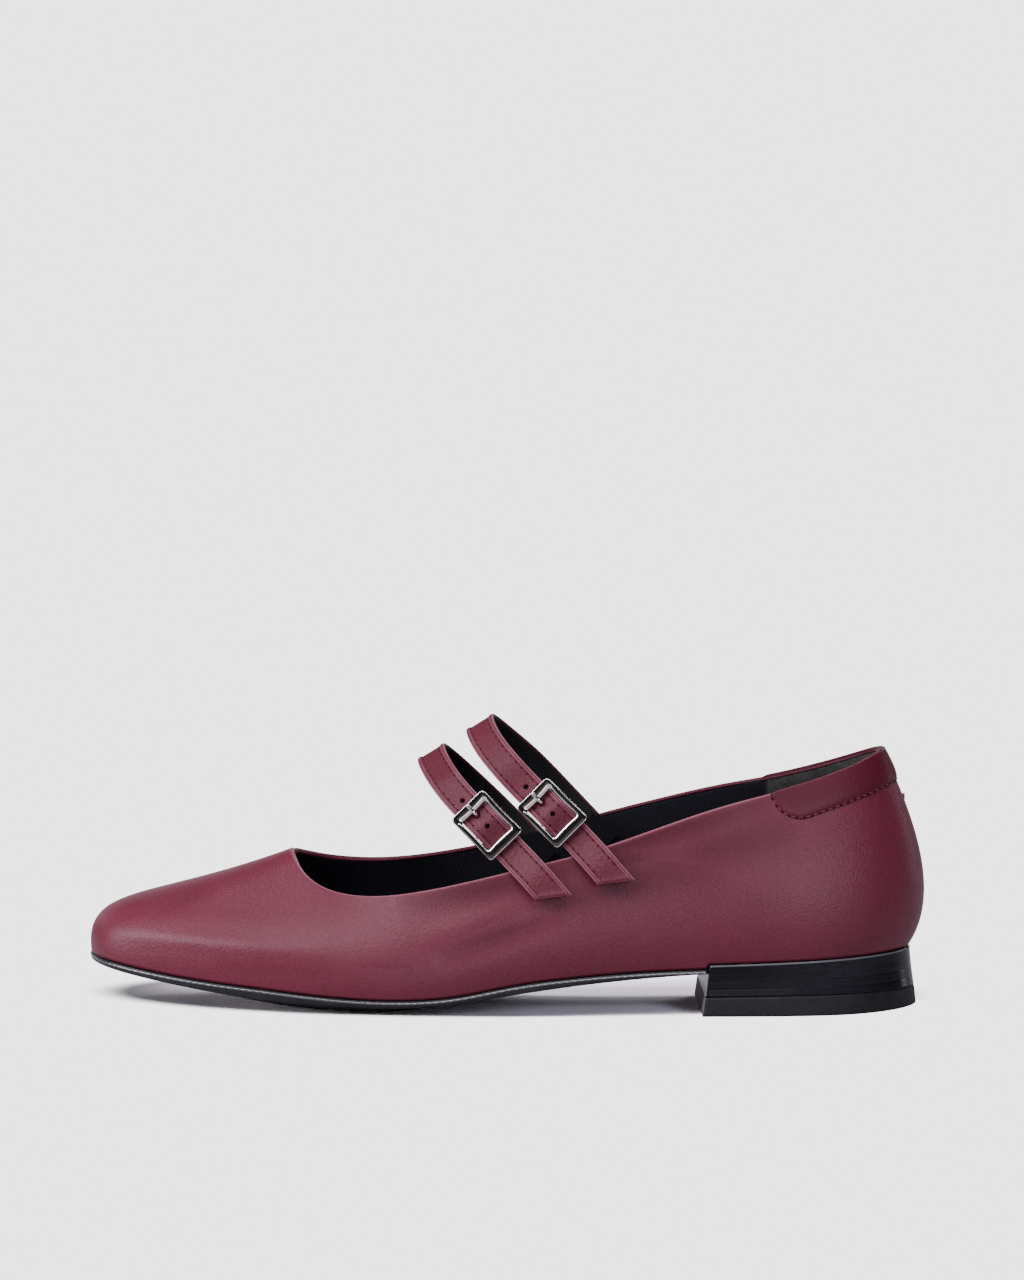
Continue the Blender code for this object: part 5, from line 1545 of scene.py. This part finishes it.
class Ribbon:
    """A strap's middle surface: a smooth line with a width direction that leans to the heel."""

    def __init__(self, rows):
        points = np.array([row[1:] for row in rows])
        run = run_along(points)
        self.length = run[-1]
        self.curve = spline(run, points)
        self.buckle = run[[row.place for row in rows].index("buckle")]

    def frame(self, along):
        """Middle of the strap and its three directions at those distances along it."""
        along = np.clip(np.atleast_1d(along), 0.0, self.length)
        low = np.clip(along - STRAP_REACH, 0.0, self.length)
        high = np.clip(along + STRAP_REACH, 0.0, self.length)
        tangent = unit(self.curve(high) - self.curve(low))
        across = unit(LEAN - tangent * (tangent @ LEAN)[:, None])
        return Frame(self.curve(along), tangent, across, np.cross(tangent, across))

    def buckle_frame(self):
        """The same at the middle of the buckle."""
        frame = self.frame(self.buckle)
        return Frame(*(part[0] for part in frame))

    def spots(self, along, across, outward):
        """Points on the strap: arrays of distance along, across its width and out from its middle."""
        along, across, outward = np.broadcast_arrays(along, across, outward)
        shape = along.shape
        along, across, outward = (a.ravel().astype(float) for a in (along, across, outward))
        frame = self.frame(np.minimum(along, self.length))
        point = frame.centre + across[:, None] * frame.across
        point = point + (outward + strap_height(self, along))[:, None] * frame.outward
        point = point + np.maximum(0.0, along - self.length)[:, None] * frame.along
        return point.reshape(*shape, 3)

    def turned(self, place, across):
        """Distance along at which the cross line of place meets the given width."""
        turn = smooth_step((place - self.length) / STRAP_TIP_RUN + 1.0)
        return place + STRAP_TIP_SLANT * turn * across


def in_frame(frame, along, across, outward):
    """Points at those distances along, across and out from the middle of a buckle."""
    along, across, outward = (v[..., None] for v in np.broadcast_arrays(along, across, outward))
    return frame.centre + along * frame.along + across * frame.across + outward * frame.outward


def strap_height(ribbon, along):
    """How far the strap's middle lies out from its path: down under the frame, up over the bar."""
    away = np.abs(along - ribbon.buckle)
    wave = 0.5 + 0.5 * np.cos(np.pi * np.clip(away / STRAP_WAVE_SPAN, 0.0, 1.0))
    near = smooth_step((STRAP_DIP_REACH - away) / STRAP_DIP_RUN)
    return -STRAP_UNDER_FRAME * near + STRAP_OVER_BAR * wave


def strap_face(across):
    """Height of the strap's face over its middle: turned rims, a stitched channel, a low centre."""
    away = np.abs(across)
    rim = np.exp(-(((away - RIM_AT) / RIM_SPREAD) ** 2))
    channel = np.exp(-(((away - STITCH_AT) / CHANNEL_SPREAD) ** 2))
    return STRAP_THICKNESS / 2 - STRAP_SINK + RIM_STAND * rim - CHANNEL_DEPTH * channel


def strap_section():
    """The strap's outline across its width, and how many of its points lie on the flat of its face."""
    half = STRAP_WIDTH / 2
    flat = np.linspace(-half + EDGE_ROUND, half - EDGE_ROUND, STRAP_ACROSS)
    face = strap_face(flat)
    turn = np.radians(STRAP_EDGE_TURNS)
    middle = (face[-1] - STRAP_THICKNESS / 2) / 2
    tall = (face[-1] + STRAP_THICKNESS / 2) / 2
    right = np.column_stack([half - EDGE_ROUND + EDGE_ROUND * np.sin(turn), middle + tall * np.cos(turn)])
    left = right[::-1] * [-1.0, 1.0]
    edge = half - STRAP_BASE_INSET
    under = np.column_stack([np.linspace(edge, -edge, 9), np.full(9, -STRAP_BASE)])
    return np.concatenate([np.column_stack([flat, face]), right, under, left])


def make_strap_leather(name, side, ribbon, m):
    """Leather with turned edges, a rounded tip and punched holes."""
    section = strap_section()
    across, away = section[:, 0], np.abs(section[:, 0])
    upper_face = section[:, 1] > 0.0
    places = np.linspace(0.0, ribbon.length, int(ribbon.length / STRAP_STEP))
    to_tip = ribbon.length - places
    end_round = np.clip(1.0 - to_tip / TIP_ROUND, 0.0, 1.0)
    squash = np.sqrt(1.0 - (end_round * TIP_THIN) ** 2)
    tip_rim = RIM_STAND * bell(to_tip - (STRAP_WIDTH / 2 - RIM_AT), RIM_SPREAD)
    inner = (away < RIM_AT) & upper_face
    tall = section[:, 1] * squash[:, None] + tip_rim[:, None] * inner
    points = ribbon.spots(ribbon.turned(places[:, None], across), across, tall)
    strap = finish_object(grid(f"{name}_leather", points), m["strap"], [name])
    # Painted highlights on the turned edges, along each rim and on the cut tip, and painted shade in the
    # groove beside each rim.
    count = len(section)
    shoulder = np.isin(np.arange(count), [STRAP_ACROSS, STRAP_ACROSS + 1, count - 1, count - 2])
    ridge = PALE_RIDGE * bell(away - PALE_AT, GROOVE_SPREAD) * upper_face
    cut = TIP_PALE * ((to_tip < TIP_CUT)[:, None] & upper_face)
    set_shade(strap, "edge", np.maximum(PALE_EDGE * shoulder + ridge, cut))
    groove = GROOVE_DARK * bell(away - GROOVE_AT, GROOVE_SPREAD) * upper_face
    set_shade(strap, "painted_shade_and_tape", np.broadcast_to(groove, points.shape[:2]))
    for place, width in PUNCHED[side]:
        punch_hole(strap, ribbon, ribbon.buckle + place, width)
    blacken_root(strap, m)


def make_strap_backing(name, ribbon, m):
    """The strap's textile back."""
    half = STRAP_WIDTH / 2 - BACKING_INSET
    flat = np.linspace(-half, half, BACKING_ACROSS)
    across = np.append(flat, flat[::-1])
    height = np.repeat([-STRAP_THICKNESS / 2 - BACKING_STAND, -STRAP_BASE + SINK], BACKING_ACROSS)
    places = np.linspace(1.0, ribbon.length - BACKING_INSET, int(ribbon.length / STRAP_STEP) // 2)
    points = ribbon.spots(ribbon.turned(places[:, None], across), across, height)
    mesh = grid(f"{name}_backing", points, u=np.append(places, places[-1]), v=np.append(across, across[0]))
    blacken_root(finish_object(mesh, m["backing"], [name]), m)


def blacken_root(piece, m):
    """Gives black cloth's material to the faces below the inner topline."""
    piece.data.materials.append(m["root"])
    for face in piece.data.polygons:
        spot = np.array(face.center) / MM
        face.material_index = int(spot[1] > STITCH_SIDE_Y and spot[2] < inner_rim_height(spot[0]))


def inner_rim_height(x):
    """Height of the inner side's topline at x, under which a strap is sewn in behind black cloth."""
    row = rib_at(np.linspace(HEEL_PLACE, PERIMETER, 400))
    return np.interp(-x, -row.top_x, row.top_z) + ROOT_SHOWN


def punch_hole(strap, ribbon, place, width):
    """A round hole punched through the strap."""
    centre = ribbon.spots(np.array([place]), 0.0, 0.0)[0]
    frame = ribbon.frame(place)
    angles = np.arange(20) * np.pi / 10
    ring = np.cos(angles)[:, None] * frame.along + np.sin(angles)[:, None] * frame.across
    loops = [centre + frame.outward * high + ring * (width / 2 + flare) for flare, high in HOLE_RINGS]
    cutter = place_new("cutter", grid("cutter", np.array(loops)))
    cut = strap.modifiers.new("Hole", "BOOLEAN")
    cut.operation = "DIFFERENCE"
    cut.solver = "EXACT"
    cut.object = cutter
    bpy.context.view_layer.update()
    graph = bpy.context.evaluated_depsgraph_get()
    mesh = bpy.data.meshes.new_from_object(strap.evaluated_get(graph))
    strap.modifiers.clear()
    strap.data = mesh
    bpy.data.objects.remove(cutter, do_unlink=True)


def make_strap_stitches(name, ribbon, m):
    """Rows of stitches along both edges and round the slanted tip."""
    high = strap_face(STITCH_AT) + STITCH_STAND
    end = ribbon.length - TIP_STITCH
    rows = [(np.linspace(STITCH_START, end, 400), across) for across in (-STITCH_AT, STITCH_AT)]
    rows.append((end, np.linspace(-STITCH_AT, STITCH_AT, 40)))
    threads, holes = [], []
    for place, across in rows:
        along = ribbon.turned(place, across)
        line = ribbon.spots(along, across, high)
        knots = along_line(line, STRAP_PITCH)
        outward = unit(along_line(line, STRAP_PITCH, ribbon.frame(along).outward))
        seen = (knots[:, 1] < STITCH_SIDE_Y) | (knots[:, 2] > inner_rim_height(knots[:, 0]) + STITCH_CLEAR)
        some, pits = stitch_row(knots[seen], outward[seen], STRAP_THREAD, STRAP_PIT, STRAP_STITCH_SINK)
        threads += some
        holes += pits
    add_stitches(name, threads, holes, m["strap_thread"], m)


def rounded_rectangle(length, width, corner, belly=0.0):
    """Plan of a frame: points round a rectangle with round corners and slightly bowed sides."""
    half = np.array([length, width]) / 2
    corners = []
    for quarter, signs in enumerate(((1, 1), (-1, 1), (-1, -1), (1, -1))):
        angles = math.pi / 2 * (quarter + np.linspace(0.0, 1.0, BUCKLE_ARC + 1))
        turn = np.column_stack([np.cos(angles), np.sin(angles)])
        corners.append((half - corner) * signs + corner * turn)
    corners = np.concatenate(corners)
    points = []
    for start, end in zip(corners, np.roll(corners, -1, axis=0)):
        count = SIDE_STEPS if np.linalg.norm(end - start) > 2.0 else 1
        points += [start + (end - start) * share for share in np.linspace(0.0, 1.0, count, endpoint=False)]
    points = np.array(points)
    reach = points / half
    bow = belly * (1.0 - reach[:, ::-1] ** 2) * np.sign(points)
    return points + bow * np.clip(np.abs(reach), 0.0, 1.0) ** 8


def buckle_section(edge, window):
    """The frame's section between a point of its outer plan and one of its window's."""
    along, across = edge / (BUCKLE_LENGTH / 2, BUCKLE_WIDTH / 2)
    upward = smooth_step((-along - END_BAR_FROM) / END_BAR_RUN)
    sideways = smooth_step((abs(across) - RAIL_FROM) / RAIL_RUN)
    end_bar = upward * (1.0 - sideways)
    broad = INNER_BEVEL_HIGH + INNER_BEVEL_SPREAD * across**2
    slope = INNER_BEVEL_LOW + (broad - INNER_BEVEL_LOW) * upward
    drop = INNER_DROP_LOW + (INNER_DROP_HIGH - INNER_DROP_LOW) * upward
    rim = OUTER_BEVEL_ENDS + (OUTER_BEVEL_SIDES - OUTER_BEVEL_ENDS) * sideways
    rim = rim * (1.0 - END_BAR_CRISP * end_bar)
    under = TOP_UNDERCUT * end_bar
    width = np.linalg.norm(window - edge)
    half = BUCKLE_THICKNESS / 2
    face = half - TOP_BAR_FALL * end_bar
    ease = EDGE_EASE
    section = [
        (under + BACK_EASE, -half),
        (under, -half + BACK_EASE),
        (0.0, half - rim - ease),
        (ease * 0.3, half - rim + ease * 0.3),
        (rim - ease * 0.3, half - ease * 0.3),
        (rim + ease, half),
        (width - slope - ease, face),
        (width - slope + ease * 0.4, face - drop * ease / slope),
        (width - ease * 1.2, face - drop * (1.0 - ease / slope)),
        (width, face - drop - ease),
        (width, -half + BACK_EASE),
        (width - BACK_EASE, -half),
    ]
    return [(*(edge + (window - edge) * (reach / width)), height) for reach, height in section]


def make_buckle(side, frame, m):
    """A polished frame with crisp bevels, broad at its upper end, and the bar behind its window."""
    outer = rounded_rectangle(BUCKLE_LENGTH, BUCKLE_WIDTH, BUCKLE_CORNER)
    inner = rounded_rectangle(WINDOW_LENGTH, WINDOW_WIDTH, WINDOW_CORNER, -WINDOW_BOW)
    loops = np.array([buckle_section(edge, window) for edge, window in zip(outer, inner)])
    add_metal(f"buckle_{side}_frame", in_frame(frame, *loops.transpose(2, 0, 1)), side, "buckle", m, True)
    rail = (BUCKLE_WIDTH + WINDOW_WIDTH) / 4
    path = [(-rail, 0.1), (-rail, BAR_TURN - BAR_DEPTH)]
    path += [(back - rail, down - BAR_DEPTH) for back, down in round_over(BAR_TURN, np.arange(15, 91, 15))]
    path += [(-across, height) for across, height in reversed(path)]
    across, height = np.array(path).T
    bar = swept_tube(in_frame(frame, 0.0, across, height), BAR_RADIUS, 14)
    add_metal(f"buckle_{side}_bar", bar, side, "buckle", m)


def add_metal(name, points, side, kind, m, around=False):
    """A polished piece in place of the solid model's buckle or prong of that side."""
    mesh = grid(name, points, around)
    finish_object(mesh, m["metal"], [f"{kind}_{side}"])


def make_prong(side, frame, m):
    """The prong: a rod hooked round the centre bar, a little thicker where it rests on the frame."""
    turn = BAR_RADIUS + GAP + PRONG_RADIUS
    angles = np.radians(np.arange(60, -181, -10))
    hook = np.column_stack([turn * np.cos(angles), turn * np.sin(angles) - BAR_DEPTH])
    lead = np.array([hook[-1], *PRONG_REST])
    knots = np.arange(len(lead), dtype=float)
    path = np.concatenate([hook, spline(knots, lead)(np.linspace(0.2, knots[-1], 48))])
    left = np.arange(len(path))[::-1]
    radius = np.interp(left, np.arange(4), np.array(PRONG_TIP) * PRONG_RADIUS)
    radius = radius + PRONG_SPREAD * smooth_step((PRONG_WIDE - left) / PRONG_WIDE_RUN)
    rod = swept_tube(in_frame(frame, path[:, 0], 0.0, path[:, 1]), radius, 16)
    add_metal(f"prong_{side}_rod", rod, side, "prong", m)


# Stage


def backdrop_shader(made):
    """An even pale backdrop for the camera; for all else a dark front and a bright back."""
    spot = made.node("ShaderNodeTexCoord", output="Generated")
    _, y, z = made.separate(spot)
    front = made.mix(made.ramp(z, *FRONT_FADE, kind="SMOOTHSTEP"), FRONT_LOW, FRONT_DARK)
    room = made.mix(made.ramp(y, *BACKDROP_FADE, kind="SMOOTHSTEP"), front, BACK_BRIGHT)
    light = made.node("ShaderNodeBackground", {"Color": room, "Strength": 1.0})
    shown = made.node("ShaderNodeBackground", {"Color": BACKDROP_TINT, "Strength": BACKDROP_SHOWN})
    return made.mix_shader(made.camera_share(), light, shown)


def floor_tone(made, x, y):
    """Painted shadow on the floor: how pale it is by place along the shoe, and darker under its middle line.
    """
    first, last = FLOOR_TONES[0].x, FLOOR_TONES[-1].x
    table = made.tree.nodes.new("ShaderNodeValToRGB")
    table.color_ramp.interpolation = "B_SPLINE"
    marks = table.color_ramp.elements
    while len(marks) < len(FLOOR_TONES):
        marks.new(1.0)
    for mark, row in zip(marks, FLOOR_TONES):
        mark.position = (row.x - first) / (last - first)
        mark.color = (row.tone, row.arch, 0.0, 1.0)
    made.feed(table.inputs[0], made.ramp(x, first, last))
    tone, arch, _ = made.separate(table.outputs[0])
    away = made.sums("ABSOLUTE", made.sums("SUBTRACT", y, FLOOR_ARCH_Y))
    dusk = made.times(made.ramp(away, *FLOOR_ARCH, kind="SMOOTHSTEP"), arch)
    return made.times(tone, made.sums("SUBTRACT", 1.0, dusk))


def floor_shader(made):
    """Matte, with painted shadow, where the camera sees it near the shoe, clear farther off, dull to all
    else.
    """
    spot = made.object_spot()
    x, y, _ = made.separate(spot)
    bend = made.node("ShaderNodeCombineXYZ", {"Y": made.ramp(x, *FLOOR_BEND)})
    drawn = made.vector("SUBTRACT", made.vector("SUBTRACT", spot, (*FLOOR_CENTRE, 0.0)), bend)
    scaled = made.vector("MULTIPLY", drawn, (1.0 / FLOOR_SPAN[0], 1.0 / FLOOR_SPAN[1], 0.0))
    away = made.node("ShaderNodeVectorMath", {0: scaled}, "Value", operation="LENGTH")
    fade = made.ramp(away, *FLOOR_FADE, kind="SMOOTHSTEP")
    matte = made.node("ShaderNodeBsdfDiffuse", {"Color": made.scaled(FLOOR_COLOUR, floor_tone(made, x, y))})
    seen = [c * FLOOR_SEEN_BY_OBJECT for c in FLOOR_COLOUR]
    dull = made.node("ShaderNodeBsdfDiffuse", {"Color": (*seen, 1.0)})
    share = made.camera_share()
    both = made.mix_shader(share, dull, matte)
    return made.mix_shader(made.times(fade, share), both, made.node("ShaderNodeBsdfTransparent"))


def make_stage():
    """Floor, backdrop and soft boxes, and the camera at the picture's viewing angle."""
    world = bpy.data.worlds.new("studio")
    bpy.context.scene.world = world
    Nodes(world).replace_all("ShaderNodeOutputWorld", backdrop_shader)

    mesh = bpy.data.meshes.new("floor")
    turns = np.linspace(0, 2 * np.pi, FLOOR_SIDES, endpoint=False)
    ring = [(math.cos(a) * FLOOR_REACH, math.sin(a) * FLOOR_REACH, FLOOR_Z) for a in turns]
    mesh.from_pydata(ring, [], [list(range(FLOOR_SIDES))])
    surface = bpy.data.materials.new("Pale floor")
    Nodes(surface).replace_all("ShaderNodeOutputMaterial", floor_shader)
    mesh.materials.append(surface)
    floor = place_new("floor", mesh)

    for box in SOFT_BOXES:
        lamp = bpy.data.lights.new(box.name, "AREA")
        lamp.shape = "RECTANGLE"
        lamp.size, lamp.size_y = box.width, box.height
        lamp.energy = box.power
        lamp.color = box.colour
        turn, lift = math.radians(box.azimuth), math.radians(box.elevation)
        spot = Vector((math.sin(turn) * math.cos(lift), -math.cos(turn) * math.cos(lift), math.sin(lift)))
        made = place_new(box.name, lamp)
        made.location = spot * LIGHT_DISTANCE + Vector(LIGHT_TARGET)
        made.rotation_euler = (-spot).to_track_quat("-Z", "Y").to_euler()

    camera = place_new("camera", bpy.data.cameras.new("camera"))
    camera.data.lens = CAMERA_LENS
    camera.data.sensor_width = CAMERA_SENSOR
    camera.location = CAMERA_PLACE
    camera.rotation_euler = (math.radians(90.0 - CAMERA_DOWN), 0.0, 0.0)
    bpy.context.scene.camera = camera


def main():
    """Builds the stage and every piece, in a fixed order."""
    make_stage()
    m = make_materials()
    for make in (
        make_upper,
        make_lining,
        make_patch,
        make_grip,
        make_collar_stitches,
        make_back_seam,
        make_outsole,
        make_sole_bead,
        make_insole,
        make_heel_block,
        make_heel_lift,
    ):
        make(m)
    for side, rows in STRAP_PATHS.items():
        name = f"strap_{side}"
        ribbon = Ribbon(rows)
        make_strap_leather(name, side, ribbon, m)
        make_strap_backing(name, ribbon, m)
        make_strap_stitches(name, ribbon, m)
        make_buckle(side, ribbon.buckle_frame(), m)
        make_prong(side, ribbon.buckle_frame(), m)
        for slot in bpy.data.objects[f"anchor_{side}"].material_slots:
            slot.material = m["strap"]


main()
